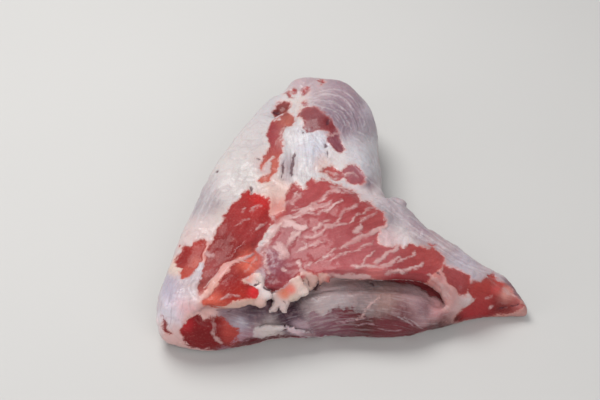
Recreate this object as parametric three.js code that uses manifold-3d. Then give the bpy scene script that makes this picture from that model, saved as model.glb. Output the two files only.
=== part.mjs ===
// A raw, untrimmed meat joint with a roughly triangular outline: a thick knob at the far end, a tapering
// tail to the right, a broad corner to the left and, along the front, an overhanging cut lip with torn
// tabs of fat above a lower roll of muscle. It is one piece of meat, so it is one solid.
// Millimetres, +Z up, front toward -Y. The origin is the middle of the bottom of its bounding box.
import * as THREE from "three";
import Module from "manifold-3d";

const LEAN_COLOUR = 0xa85056;
const GRID = 4.4;
const FILL = 0.05;
const FLAT_TOLERANCE = 0.25;
const GRID_LOW = new THREE.Vector3(-150, -152, -GRID);
const GRID_HIGH = new THREE.Vector3(150, 160, 80);

// The outline in plan: x, y, height of the widest reach, roundness above it, roundness below it.
const RIM = [
  [-137, -133, 18, 16, 14], [-118, -141, 17, 9, 13], [-98, -144, 17, 7, 13], [-75, -139, 17, 9, 12],
  [-50, -132, 18, 16, 12], [-20, -128, 18, 20, 12], [12, -128, 18, 22, 12], [42, -128, 18, 22, 12],
  [64, -122, 17, 20, 11], [86, -113, 13, 16, 9], [108, -105, 10, 12, 7], [128, -102, 7, 9, 5],
  [141, -101, 4.5, 6, 4], [136, -88, 8, 10, 6], [127, -70, 11, 14, 8], [105, -64, 13, 16, 9],
  [85, -52, 14, 18, 10], [69, -37, 16, 20, 10], [56, -19, 18, 22, 11], [40, -2, 20, 22, 12],
  [34, 16, 20, 20, 12], [34, 42, 22, 22, 13], [32, 70, 24, 24, 14], [32, 98, 26, 24, 14],
  [25, 124, 27, 26, 15], [9, 145, 27, 26, 15], [-20, 150, 26, 30, 15], [-45, 141, 25, 25, 14],
  [-67, 120, 24, 23, 14], [-78, 94, 24, 24, 14], [-92, 64, 24, 24, 14], [-103, 33, 24, 24, 14],
  [-114, 1, 24, 24, 14], [-124, -36, 24, 22, 14], [-132, -71, 24, 20, 14], [-138, -106, 22, 18, 14],
];
// The upper surface: x, y, height there. Between the rows the heights blend over BLEND.
const BLEND = 18;
const TOPS = [
  [-22, 120, 61], [14, 116, 59], [20, 82, 54], [-20, 76, 66], [-25, 40, 65], [-5, 12, 60],
  [-60, 95, 52], [-72, 62, 56], [-80, 20, 58], [-95, -15, 56], [-45, 20, 62], [-10, -35, 61], [-55, -40, 59],
  [-95, -60, 57], [-120, -100, 47], [-95, -112, 48], [-70, -90, 52], [40, -22, 51], [66, -50, 43],
  [5, -80, 55], [45, -70, 50], [78, -82, 40], [98, -90, 31], [124, -97, 17], [138, -99, 10],
  [-92, -132, 45], [-60, -128, 47], [-32, -114, 51], [4, -107, 54], [28, -105, 53], [47, -103, 51],
  [62, -100, 46], [75, -104, 38],
];
// The cut lip above the front: x, y, height of the roll before it, depth of the hollow under it, strength.
const LIP = [
  [-114, -131, 38, 0, 0], [-104, -137, 36, 2, 1], [-84, -136, 35, 4, 1], [-68, -132, 34, 6, 1],
  [-57, -122, 35, 9, 1], [-46, -120, 35, 9, 1], [-31, -112, 36, 8, 1], [-14, -108, 38, 8, 1],
  [4, -107, 38, 9, 1], [27, -107, 37, 10, 1], [46, -105, 34, 10, 1], [61, -102, 28, 10, 1],
  [72, -105, 22, 8, 1], [79, -110, 17, 3, 0.6], [85, -117, 14, 0, 0],
];
const LIP_STEP = 4;
const HOLLOW_RISE = 3.5;
const HOLLOW_RADIUS = 3.5;
const HOLLOW_GROWTH = 0.22;
const HOLLOW_FADE = 12;
const HOLLOW_BLEND = 3;
// Single muscles that swell out of the surface: x, y, z, radius, rise.
const SWELLS = [
  [-30, 122, 56, 12, 4], [8, 82, 56, 22, 4], [-22, 66, 64, 13, 3], [-86, 20, 46, 24, 3],
  [-66, 84, 42, 18, 3], [-86, -62, 56, 17, 3], [2, -62, 58, 24, 3], [14, -43, 58, 8, 2.5],
  [29, -44, 53, 8, 2.5], [0, -34, 60, 9, 2.5], [-82, -110, 46, 14, 4], [43, -26, 46, 12, 2],
  [62, -44, 40, 12, 2], [84, -58, 30, 12, 3], [88, -97, 30, 10, 3.5], [108, -90, 26, 9, 3.5],
  [124, -98, 13, 8, 2.5], [-128, -120, 38, 14, 2], [-30, -128, 28, 16, 2], [28, -126, 32, 20, 3],
  [-28, 12, 62, 10, 2], [-50, -131, 26, 10, -5],
];
// Seams between the muscles: depth, width, then the points that each runs through.
const SEAMS = [
  [3, 5, [[-46, -15, 60], [-54, -47, 60], [-57, -68, 58], [-64, -78, 55], [-62, -95, 52], [-62, -104, 48]]],
  [4.5, 4, [[-43, 46, 66], [-39, 22, 65], [-40, -2, 62]]],
  [5, 4, [[-57, 82, 56], [-45, 92, 61]]],
  [3.5, 5, [[-41, 118, 60], [-34, 98, 64], [-39, 72, 65], [-46, 56, 64]]],
  [2.5, 5, [[30, -28, 54], [52, -52, 49], [72, -68, 44], [86, -77, 38], [112, -82, 29], [129, -91, 19]]],
  [4, 6, [[-12, -2, 62], [7, -12, 60], [22, -14, 56], [34, -10, 48], [44, -6, 34]]],
  [2.5, 4, [[-108, -122, 46], [-93, -103, 53], [-80, -92, 54], [-63, -97, 53]]],
  [5, 8, [[-44, 120, 62], [-50, 128, 52], [-54, 133, 38]]],
  [2, 5, [[-98, 24, 48], [-106, -3, 46], [-112, -30, 46], [-116, -55, 44]]],
  [2, 4, [[-20, -128, 33], [10, -131, 28], [45, -129, 24], [75, -118, 20]]],
];
const SEAM_TAPER = 5;
const SEAM_STEPS = 4;
// Torn tabs of fat: thickness, then x, y, z and half width along each, from its root to its tip.
const TABS = [
  [4.5, [[-66, -119, 48, 9], [-64, -127, 46, 10], [-61, -132, 42, 7], [-60, -135, 39, 3]]],
  [4.5, [[-34, -109, 51, 8], [-38, -117, 47, 10], [-43, -125, 41, 9], [-46, -132, 35, 4]]],
  [4, [[-45, -117, 46, 4], [-50, -123, 42, 5], [-54, -129, 37, 4], [-56, -132, 34, 1.5]]],
  [6, [[-24, -104, 50, 6], [-25, -110, 46, 6], [-26, -114, 41, 3]]],
  [4, [[-14, -105, 51, 5], [-14, -109, 48, 5], [-14, -112, 44, 3]]],
  [3, [[38, -15, 44, 3], [45, -20, 48, 3], [49, -22, 47.5, 1.5]]],
  [5, [[-116, -88, 42, 4], [-122, -92, 43.5, 4], [-127, -97, 41, 2]]],
];
const TAB_RINGS = 8;
const TAB_SIDES = 10;
const OUTLINE_STEPS = 8;

const smoothstep = (t) => THREE.MathUtils.smoothstep(t, 0, 1);

function smoothMax(a, b, blend) {
  const h = THREE.MathUtils.clamp(0.5 + (0.5 * (a - b)) / blend, 0, 1);
  return b + (a - b) * h + blend * h * (1 - h);
}

// Rows of numbers joined by a Catmull-Rom spline through every column.
function smoothRows(rows, closed, steps) {
  const n = rows.length;
  const row = (i) => (closed ? rows[(i + n) % n] : rows[THREE.MathUtils.clamp(i, 0, n - 1)]);
  const out = [];
  for (let i = 0; i < (closed ? n : n - 1); i++) {
    const [p0, p1, p2, p3] = [row(i - 1), row(i), row(i + 1), row(i + 2)];
    for (let j = 0; j < steps; j++) {
      const t = j / steps;
      const bend = (a, b, c, d) => 2 * b + (c - a) * t
        + (2 * a - 5 * b + 4 * c - d) * t * t + (3 * b - a - 3 * c + d) * t ** 3;
      out.push(p1.map((_, k) => 0.5 * bend(p0[k], p1[k], p2[k], p3[k])));
    }
  }
  if (!closed) out.push(rows[n - 1]);
  return out;
}

// The nearest place on a path in plan: its distance, the side it is on and the path's values there.
function nearest(path, closed, x, y) {
  const best = { distance: Infinity, side: 0, values: null };
  const last = closed ? path.length : path.length - 1;
  for (let i = 0; i < last; i++) {
    const p = path[i];
    const q = path[(i + 1) % path.length];
    const [dx, dy] = [q[0] - p[0], q[1] - p[1]];
    const along = ((x - p[0]) * dx + (y - p[1]) * dy) / Math.max(dx * dx + dy * dy, 1e-9);
    const t = THREE.MathUtils.clamp(along, 0, 1);
    const [ox, oy] = [x - p[0] - t * dx, y - p[1] - t * dy];
    const distance = Math.hypot(ox, oy);
    if (distance < best.distance) {
      best.distance = distance;
      best.side = dx * oy - dy * ox;
      best.values = p.map((v, k) => v + t * (q[k] - v));
    }
  }
  return best;
}

function isInside(path, x, y) {
  let odd = false;
  path.forEach((p, i) => {
    const q = path[(i + 1) % path.length];
    const crosses = p[1] > y !== q[1] > y;
    if (crosses && x < p[0] + ((y - p[1]) / (q[1] - p[1])) * (q[0] - p[0])) odd = !odd;
  });
  return odd;
}

function topHeight(x, y) {
  let total = 0;
  let weights = 1e-12;
  for (const [tx, ty, height] of TOPS) {
    const weight = Math.exp(-((x - tx) ** 2 + (y - ty) ** 2) / (2 * BLEND ** 2));
    total += weight * height;
    weights += weight;
  }
  return total / weights;
}

const rim = smoothRows(RIM, true, OUTLINE_STEPS);
const lip = smoothRows(LIP, false, OUTLINE_STEPS);
const seams = SEAMS.map(([depth, width, points]) => ({
  depth,
  width,
  path: smoothRows(points, false, SEAM_STEPS).map((p) => new THREE.Vector3(...p)),
}));

// What the body needs to know about one place in plan.
function columnAt(x, y) {
  const edge = nearest(rim, true, x, y);
  const [, , widest, above, below] = edge.values;
  const cut = nearest(lip, false, x, y);
  const [, , roll, reach, strength] = cut.values;
  const top = topHeight(x, y);
  const ledge = Math.min(roll, top);
  const behind = cut.side > 0 ? cut.distance : -cut.distance;
  const share = 1 - (1 - smoothstep(behind / LIP_STEP + 0.5)) * strength;
  const depth = isInside(rim, x, y) ? edge.distance : -edge.distance;
  return { depth, widest, above, below, behind, roll, reach, strength, height: ledge + (top - ledge) * share };
}

// The rounded body and the hollow under its lip: negative inside.
function bodyAt(c, z) {
  const rise = Math.max(c.height - c.widest, 4);
  const [round, tall, lift] = z >= c.widest
    ? [c.above, rise, (z - c.widest) / rise]
    : [c.below, c.widest, (c.widest - z) / c.widest];
  const body = (Math.hypot(Math.max(0, 1 - c.depth / round), lift) - 1) * Math.min(round, tall);
  const across = Math.max(Math.abs(c.behind - (c.reach - 4) / 2) - c.reach / 2, 0);
  const radius = HOLLOW_RADIUS + HOLLOW_GROWTH * c.reach;
  const hollow = Math.hypot(across, z - c.roll - HOLLOW_RISE) - radius + HOLLOW_FADE * (1 - c.strength);
  return smoothMax(body, -hollow, HOLLOW_BLEND);
}

function swellAt(point) {
  let rise = 0;
  for (const [x, y, z, radius, height] of SWELLS) {
    const away = (point.x - x) ** 2 + (point.y - y) ** 2 + (point.z - z) ** 2;
    rise += height * Math.exp(-away / (2 * radius ** 2));
  }
  return rise;
}

const segment = new THREE.Line3();
const onSegment = new THREE.Vector3();

function seamAt(point) {
  let depth = 0;
  for (const seam of seams) {
    let deepest = 0;
    for (let i = 0; i + 1 < seam.path.length; i++) {
      segment.set(seam.path[i], seam.path[i + 1]);
      const t = segment.closestPointToPointParameter(point, true);
      segment.at(t, onSegment);
      const along = (i + t) / (seam.path.length - 1);
      const taper = Math.min(1, SEAM_TAPER * along, SEAM_TAPER * (1 - along));
      const near = Math.exp(-point.distanceToSquared(onSegment) / seam.width ** 2);
      deepest = Math.max(deepest, taper * near);
    }
    depth += seam.depth * deepest;
  }
  return depth;
}

// The solid's value at every point of the grid.
function sampleGrid() {
  const size = GRID_HIGH.clone().sub(GRID_LOW).divideScalar(GRID).ceil().addScalar(1);
  const values = new Float64Array(size.x * size.y * size.z);
  const at = (i, j, k) => (i * size.y + j) * size.z + k;
  const point = new THREE.Vector3();
  for (let i = 0; i < size.x; i++) {
    for (let j = 0; j < size.y; j++) {
      const column = columnAt(GRID_LOW.x + i * GRID, GRID_LOW.y + j * GRID);
      for (let k = 0; k < size.z; k++) {
        point.set(i, j, k).multiplyScalar(GRID).add(GRID_LOW);
        const shape = bodyAt(column, point.z) - swellAt(point) + seamAt(point);
        values[at(i, j, k)] = Math.max(shape, -point.z);
      }
    }
  }
  return { size, values, at };
}

// Where the solid's corners touch only across a diagonal of a grid face, the nearer gap is filled, so
// that no edge of the surface is shared by more than two faces.
function fillDiagonals({ size, values, at }) {
  const pairs = [[[1, 0, 0], [0, 1, 0]], [[0, 1, 0], [0, 0, 1]], [[0, 0, 1], [1, 0, 0]]];
  let filled = 0;
  for (let i = 0; i + 1 < size.x; i++) {
    for (let j = 0; j + 1 < size.y; j++) {
      for (let k = 0; k + 1 < size.z; k++) {
        for (const [u, w] of pairs) {
          const face = [
            at(i, j, k), at(i + u[0], j + u[1], k + u[2]),
            at(i + u[0] + w[0], j + u[1] + w[1], k + u[2] + w[2]), at(i + w[0], j + w[1], k + w[2]),
          ];
          const [a, b, c, d] = face.map((n) => values[n] < 0);
          if (a !== c || b !== d || a === b) continue;
          const gaps = face.filter((n) => values[n] >= 0).sort((m, n) => values[m] - values[n]);
          values[gaps[0]] = -FILL * GRID;
          filled++;
        }
      }
    }
  }
  return filled;
}

// One vertex in each cell of the grid that the surface crosses, where its crossings lie on average.
function cellVertices({ size, values, at }) {
  const positions = [];
  const vertexOf = new Map();
  const corners = [0, 1, 2, 3, 4, 5, 6, 7].map((n) => [n & 1, (n >> 1) & 1, n >> 2]);
  const edges = corners.flatMap((c, n) => [1, 2, 4].filter((bit) => !(n & bit)).map((bit) => [n, n | bit]));
  for (let i = 0; i + 1 < size.x; i++) {
    for (let j = 0; j + 1 < size.y; j++) {
      for (let k = 0; k + 1 < size.z; k++) {
        const v = corners.map(([a, b, c]) => values[at(i + a, j + b, k + c)]);
        const sum = new THREE.Vector3();
        let crossings = 0;
        for (const [a, b] of edges) {
          if (v[a] < 0 === v[b] < 0) continue;
          const from = new THREE.Vector3(...corners[a]);
          sum.add(from.lerp(new THREE.Vector3(...corners[b]), v[a] / (v[a] - v[b])));
          crossings++;
        }
        if (!crossings) continue;
        sum.divideScalar(crossings).add(new THREE.Vector3(i, j, k)).multiplyScalar(GRID).add(GRID_LOW);
        vertexOf.set(at(i, j, k), positions.length / 3);
        positions.push(sum.x, sum.y, sum.z);
      }
    }
  }
  return { positions, vertexOf };
}

// Four cells meet at each grid edge that the surface crosses: two triangles join their vertices.
function netOf(grid) {
  const { size, values, at } = grid;
  const { positions, vertexOf } = cellVertices(grid);
  const triangles = [];
  const steps = [[1, 0, 0], [0, 1, 0], [0, 0, 1]];
  const corner = (n) => new THREE.Vector3().fromArray(positions, 3 * n);
  for (let i = 1; i + 1 < size.x; i++) {
    for (let j = 1; j + 1 < size.y; j++) {
      for (let k = 0; k + 1 < size.z; k++) {
        steps.forEach((step, axis) => {
          const here = values[at(i, j, k)] < 0;
          const next = values[at(i + step[0], j + step[1], k + step[2])] < 0;
          if (here === next) return;
          const u = steps[(axis + 1) % 3];
          const w = steps[(axis + 2) % 3];
          const cell = (a, b) => vertexOf.get(
            at(i - a * u[0] - b * w[0], j - a * u[1] - b * w[1], k - a * u[2] - b * w[2]));
          const quad = [cell(0, 0), cell(1, 0), cell(1, 1), cell(0, 1)];
          if (!here) quad.reverse();
          const [a, b, c, d] = quad;
          const first = corner(a).distanceTo(corner(c)) < corner(b).distanceTo(corner(d));
          triangles.push(...(first ? [a, b, c, a, c, d] : [a, b, d, b, c, d]));
        });
      }
    }
  }
  return { positions, triangles };
}

// A flat tapering tab along a curve, closed at both ends.
function tabNet([thickness, rows]) {
  const path = smoothRows(rows, false, Math.round(TAB_RINGS / (rows.length - 1)));
  const points = path.map(([x, y, z]) => new THREE.Vector3(x, y, z));
  const positions = [];
  const triangles = [];
  points.forEach((point, n) => {
    const ahead = points[Math.min(n + 1, points.length - 1)].clone();
    const along = ahead.sub(points[Math.max(n - 1, 0)]).normalize();
    const side = new THREE.Vector3(0, 0, 1).cross(along).normalize();
    const up = along.clone().cross(side);
    for (let k = 0; k < TAB_SIDES; k++) {
      const angle = (2 * Math.PI * k) / TAB_SIDES;
      const place = point.clone().addScaledVector(side, path[n][3] * Math.cos(angle));
      place.addScaledVector(up, (thickness / 2) * Math.sin(angle));
      positions.push(place.x, place.y, place.z);
    }
  });
  const ring = (n, k) => n * TAB_SIDES + (k % TAB_SIDES);
  const last = points.length - 1;
  for (let k = 0; k < TAB_SIDES; k++) {
    for (let n = 0; n < last; n++) {
      triangles.push(ring(n, k), ring(n, k + 1), ring(n + 1, k + 1));
      triangles.push(ring(n, k), ring(n + 1, k + 1), ring(n + 1, k));
    }
    if (k > 1) triangles.push(ring(0, 0), ring(0, k), ring(0, k - 1));
    if (k > 1) triangles.push(ring(last, 0), ring(last, k - 1), ring(last, k));
  }
  return { positions, triangles };
}

const wasm = await Module();
wasm.setup();

function solidOf({ positions, triangles }) {
  const solid = new wasm.Manifold(new wasm.Mesh({
    numProp: 3,
    vertProperties: new Float32Array(positions),
    triVerts: new Uint32Array(triangles),
  }));
  if (solid.volume() > 0) return solid;
  const turned = [];
  for (let i = 0; i < triangles.length; i += 3) turned.push(triangles[i], triangles[i + 2], triangles[i + 1]);
  return solidOf({ positions, triangles: turned });
}

function geometryOf(solid) {
  const mesh = solid.getMesh();
  const geometry = new THREE.BufferGeometry();
  geometry.setAttribute("position", new THREE.BufferAttribute(new Float32Array(mesh.vertProperties), 3));
  geometry.setIndex(new THREE.BufferAttribute(new Uint32Array(mesh.triVerts), 1));
  return geometry;
}

const grid = sampleGrid();
while (fillDiagonals(grid) > 0);
let joint = solidOf(netOf(grid));
for (const tab of TABS) joint = joint.add(solidOf(tabNet(tab)));
joint = joint.simplify(FLAT_TOLERANCE);

const geometry = geometryOf(joint);
geometry.computeBoundingBox();
const box = geometry.boundingBox;
const middle = box.getCenter(new THREE.Vector3());
geometry.translate(-middle.x, -middle.y, -box.min.z);
geometry.computeVertexNormals();

const meat = new THREE.Mesh(
  geometry,
  new THREE.MeshStandardMaterial({ color: LEAN_COLOUR, roughness: 0.38, metalness: 0 }),
);
meat.name = "meat_joint";

const root = new THREE.Group();
root.name = "raw_meat_joint";
root.add(meat);
export default root;
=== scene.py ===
import math

import bpy
import numpy as np
from mathutils import Matrix, Vector


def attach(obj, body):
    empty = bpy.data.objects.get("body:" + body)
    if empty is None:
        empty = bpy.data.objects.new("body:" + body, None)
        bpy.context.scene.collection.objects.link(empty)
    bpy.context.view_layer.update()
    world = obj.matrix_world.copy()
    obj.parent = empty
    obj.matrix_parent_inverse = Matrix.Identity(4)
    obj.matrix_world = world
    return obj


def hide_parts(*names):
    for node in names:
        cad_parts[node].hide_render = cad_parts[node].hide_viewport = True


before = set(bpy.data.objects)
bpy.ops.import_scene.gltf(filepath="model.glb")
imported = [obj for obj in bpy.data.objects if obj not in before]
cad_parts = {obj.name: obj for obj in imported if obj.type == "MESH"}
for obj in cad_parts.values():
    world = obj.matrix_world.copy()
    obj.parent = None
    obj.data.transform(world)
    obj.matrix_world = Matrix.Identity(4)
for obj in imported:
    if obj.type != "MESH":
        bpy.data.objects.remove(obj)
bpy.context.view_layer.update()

MM = 0.001
SEED = 31
# Spacing of the grid that the joint's surface is found on, in millimetres.
FINE_GRID = 1.32
GRID_LOW = (-150.0, -152.0)
GRID_HIGH = (150.0, 160.0, 80.0)
# Where the shape's own coordinates have the middle of the joint's base.
MIDDLE = (0.555, 3.045, 0.0)

# The joint's shape, in millimetres, front toward -Y.
# The outline in plan: x, y, height of the widest reach, roundness above it, roundness below it.
RIM = [
    (-137, -133, 18, 16, 14), (-118, -141, 17, 9, 13), (-98, -144, 17, 7, 13), (-75, -139, 17, 9, 12),
    (-50, -132, 18, 16, 12), (-20, -128, 18, 20, 12), (12, -128, 18, 22, 12), (42, -128, 18, 22, 12),
    (64, -122, 17, 20, 11), (86, -113, 13, 16, 9), (108, -105, 10, 12, 7), (128, -102, 7, 9, 5),
    (141, -101, 4.5, 6, 4), (136, -88, 8, 10, 6), (127, -70, 11, 14, 8), (105, -64, 13, 16, 9),
    (85, -52, 14, 18, 10), (69, -37, 16, 20, 10), (56, -19, 18, 22, 11), (40, -2, 20, 22, 12),
    (34, 16, 20, 20, 12), (34, 42, 22, 22, 13), (32, 70, 24, 24, 14), (32, 98, 26, 24, 14),
    (25, 124, 27, 26, 15), (9, 145, 27, 26, 15), (-20, 150, 26, 30, 15), (-45, 141, 25, 25, 14),
    (-67, 120, 24, 23, 14), (-78, 94, 24, 24, 14), (-92, 64, 24, 24, 14), (-103, 33, 24, 24, 14),
    (-114, 1, 24, 24, 14), (-124, -36, 24, 22, 14), (-132, -71, 24, 20, 14), (-138, -106, 22, 18, 14),
]
# The upper surface: x, y, height there. Between the rows the heights blend over BLEND.
BLEND = 18.0
TOPS = [
    (-22, 120, 61), (14, 116, 59), (20, 82, 54), (-20, 76, 66), (-25, 40, 65), (-5, 12, 60),
    (-60, 95, 52), (-72, 62, 56), (-80, 20, 58), (-95, -15, 56), (-45, 20, 62), (-10, -35, 61),
    (-55, -40, 59), (-95, -60, 57), (-120, -100, 47), (-95, -112, 48), (-70, -90, 52), (40, -22, 51),
    (66, -50, 43), (5, -80, 55), (45, -70, 50), (78, -82, 40), (98, -90, 31), (124, -97, 17),
    (138, -99, 10), (-92, -132, 45), (-60, -128, 47), (-32, -114, 51), (4, -107, 54), (28, -105, 53),
    (47, -103, 51), (62, -100, 46), (75, -104, 38),
]
# The cut lip above the front: x, y, height of the roll before it, depth of the hollow under it, strength.
LIP = [
    (-114, -131, 38, 0, 0), (-104, -137, 36, 2, 1), (-84, -136, 35, 4, 1), (-68, -132, 34, 6, 1),
    (-57, -122, 35, 9, 1), (-46, -120, 35, 9, 1), (-31, -112, 36, 8, 1), (-14, -108, 38, 8, 1),
    (4, -107, 38, 9, 1), (27, -107, 37, 10, 1), (46, -105, 34, 10, 1), (61, -102, 28, 10, 1),
    (72, -105, 22, 8, 1), (79, -110, 17, 3, 0.6), (85, -117, 14, 0, 0),
]
LIP_STEP = 4.0
HOLLOW_RISE = 3.5
HOLLOW_RADIUS = 3.5
HOLLOW_GROWTH = 0.22
HOLLOW_FADE = 12.0
HOLLOW_BLEND = 6.0
# Single muscles that swell out of the surface: x, y, z, radius, rise.
SWELLS = [
    (-30, 122, 56, 12, 4), (8, 82, 56, 22, 4), (-22, 66, 64, 13, 3), (-86, 20, 46, 24, 3),
    (-66, 84, 42, 18, 3), (-86, -62, 56, 17, 3), (2, -62, 58, 24, 3), (14, -43, 58, 8, 2.5),
    (29, -44, 53, 8, 2.5), (0, -34, 60, 9, 2.5), (-82, -110, 46, 14, 4), (43, -26, 46, 12, 2),
    (62, -44, 40, 12, 2), (84, -58, 30, 12, 3), (88, -97, 30, 10, 3.5), (108, -90, 26, 9, 3.5),
    (124, -98, 13, 8, 2.5), (-128, -120, 38, 14, 2), (-30, -128, 28, 16, 2), (28, -126, 32, 20, 3),
    (-28, 12, 62, 10, 2), (-50, -131, 26, 10, -5),
]
# Seams between the muscles: depth, width, then the points that each runs through.
SEAMS = [
    (3, 5, [
        (-46, -15, 60), (-54, -47, 60), (-57, -68, 58), (-64, -78, 55), (-62, -95, 52), (-62, -104, 48)]),
    (4.5, 4, [(-43, 46, 66), (-39, 22, 65), (-40, -2, 62)]),
    (5, 4, [(-57, 82, 56), (-45, 92, 61)]),
    (3.5, 5, [(-41, 118, 60), (-34, 98, 64), (-39, 72, 65), (-46, 56, 64)]),
    (2.5, 5, [(30, -28, 54), (52, -52, 49), (72, -68, 44), (86, -77, 38), (112, -82, 29), (129, -91, 19)]),
    (4, 6, [(-12, -2, 62), (7, -12, 60), (22, -14, 56), (34, -10, 48), (44, -6, 34)]),
    (2.5, 4, [(-108, -122, 46), (-93, -103, 53), (-80, -92, 54), (-63, -97, 53)]),
    (5, 8, [(-44, 120, 62), (-50, 128, 52), (-54, 133, 38)]),
    (2, 5, [(-98, 24, 48), (-106, -3, 46), (-112, -30, 46), (-116, -55, 44)]),
    (2, 4, [(-20, -128, 33), (10, -131, 28), (45, -129, 24), (75, -118, 20)]),
]
SEAM_TAPER = 5.0
SEAM_STEPS = 4
OUTLINE_STEPS = 8
# Torn strands and scraps of fat that hang from the lip or lie at the base: x, y, z and radius along each.
STRAND_BLEND = 2.2
STRAND_REACH = 12
PATH_STEPS = 3
STRANDS = [
    [(41, -17, 46, 2.2), (45, -20, 48, 1.8), (48, -22, 48, 1.2), (49.5, -23, 47, 0.7)],
    [(-120, -89, 43, 3.0), (-124, -93, 43, 2.8), (-127, -97, 41.5, 1.8)],
    [(-40, -124, 14, 2.0), (-30, -127, 11, 1.6), (-22, -127, 9, 1.4), (-16, -126, 6, 0.9)],
    [(-10, -117, 2, 1.6), (-1, -121, 1.4, 1.4), (8, -119, 1.4, 0.9)],
    [(42, -116, 2, 1.6), (49, -120, 1.4, 1.3), (55, -118, 1.4, 0.8)],
    [(-31, -119, 2, 1.4), (-24, -122, 1.4, 1.2), (-17, -120, 1.2, 0.8)],
]

# The fixed place that the marks on the meat are laid out from. It is a pinhole view of the joint: pixels of
# a picture 600 wide and 400 high, with y down, and the shape's own coordinates for the point looked at.
LAYOUT_SIZE = (600, 400)
LAYOUT_ELEVATION = math.radians(40)
LAYOUT_DISTANCE = 1200.0
LAYOUT_TARGET = (-32.9, 39.8, 0.0)
LENS = 85.0
SENSOR = 36.0
PIXELS_PER_MM = LENS / SENSOR * LAYOUT_SIZE[0] / LAYOUT_DISTANCE

# Torn flakes of fat at the lip: thickness in millimetres, y and z of the upper and the lower end of each
# in millimetres, then its outline in pixels of the layout.
FLAKE_BLEND = 0.8
FLAKE_TEAR = 1.2
FLAKE_REACH = 26
FLAKES = [
    (3.4, (-118, 50), (-133, 39), [
        (251, 277), (255, 273), (260, 274), (263, 279), (262, 286), (266, 289), (273, 297), (268, 298),
        (264, 299), (265, 304), (262, 307), (256, 305), (248, 302), (238, 303), (236, 292)]),
    (3.0, (-110, 51), (-132, 34), [
        (298, 278), (303, 282), (306, 287), (309, 292), (307, 295), (301, 296), (296, 300), (291, 301),
        (288, 305), (286, 312), (282, 312), (279, 307), (276, 311), (269, 312), (273, 304), (274, 300),
        (270, 297), (275, 293), (282, 289), (288, 284), (292, 280)]),
    (2.8, (-107, 51), (-114, 41), [
        (302, 274), (309, 273), (316, 276), (318, 281), (314, 287), (309, 291), (304, 287)]),
    (2.6, (-107, 50), (-111, 43), [
        (319, 274), (325, 273.5), (329, 276), (328, 283), (324, 281), (321, 284), (318, 278)]),
    (3.2, (-135, 24), (-135, 11), [
        (253, 335), (256, 329), (262, 326), (270, 325), (278, 326), (286, 327), (281, 330), (273, 333),
        (264, 337)]),
    (2.6, (-132, 26), (-133, 13), [
        (283, 325), (289, 326), (296, 329), (304, 331), (311, 332), (317, 336), (310, 336), (302, 335),
        (295, 333), (288, 330)]),
]

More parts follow.
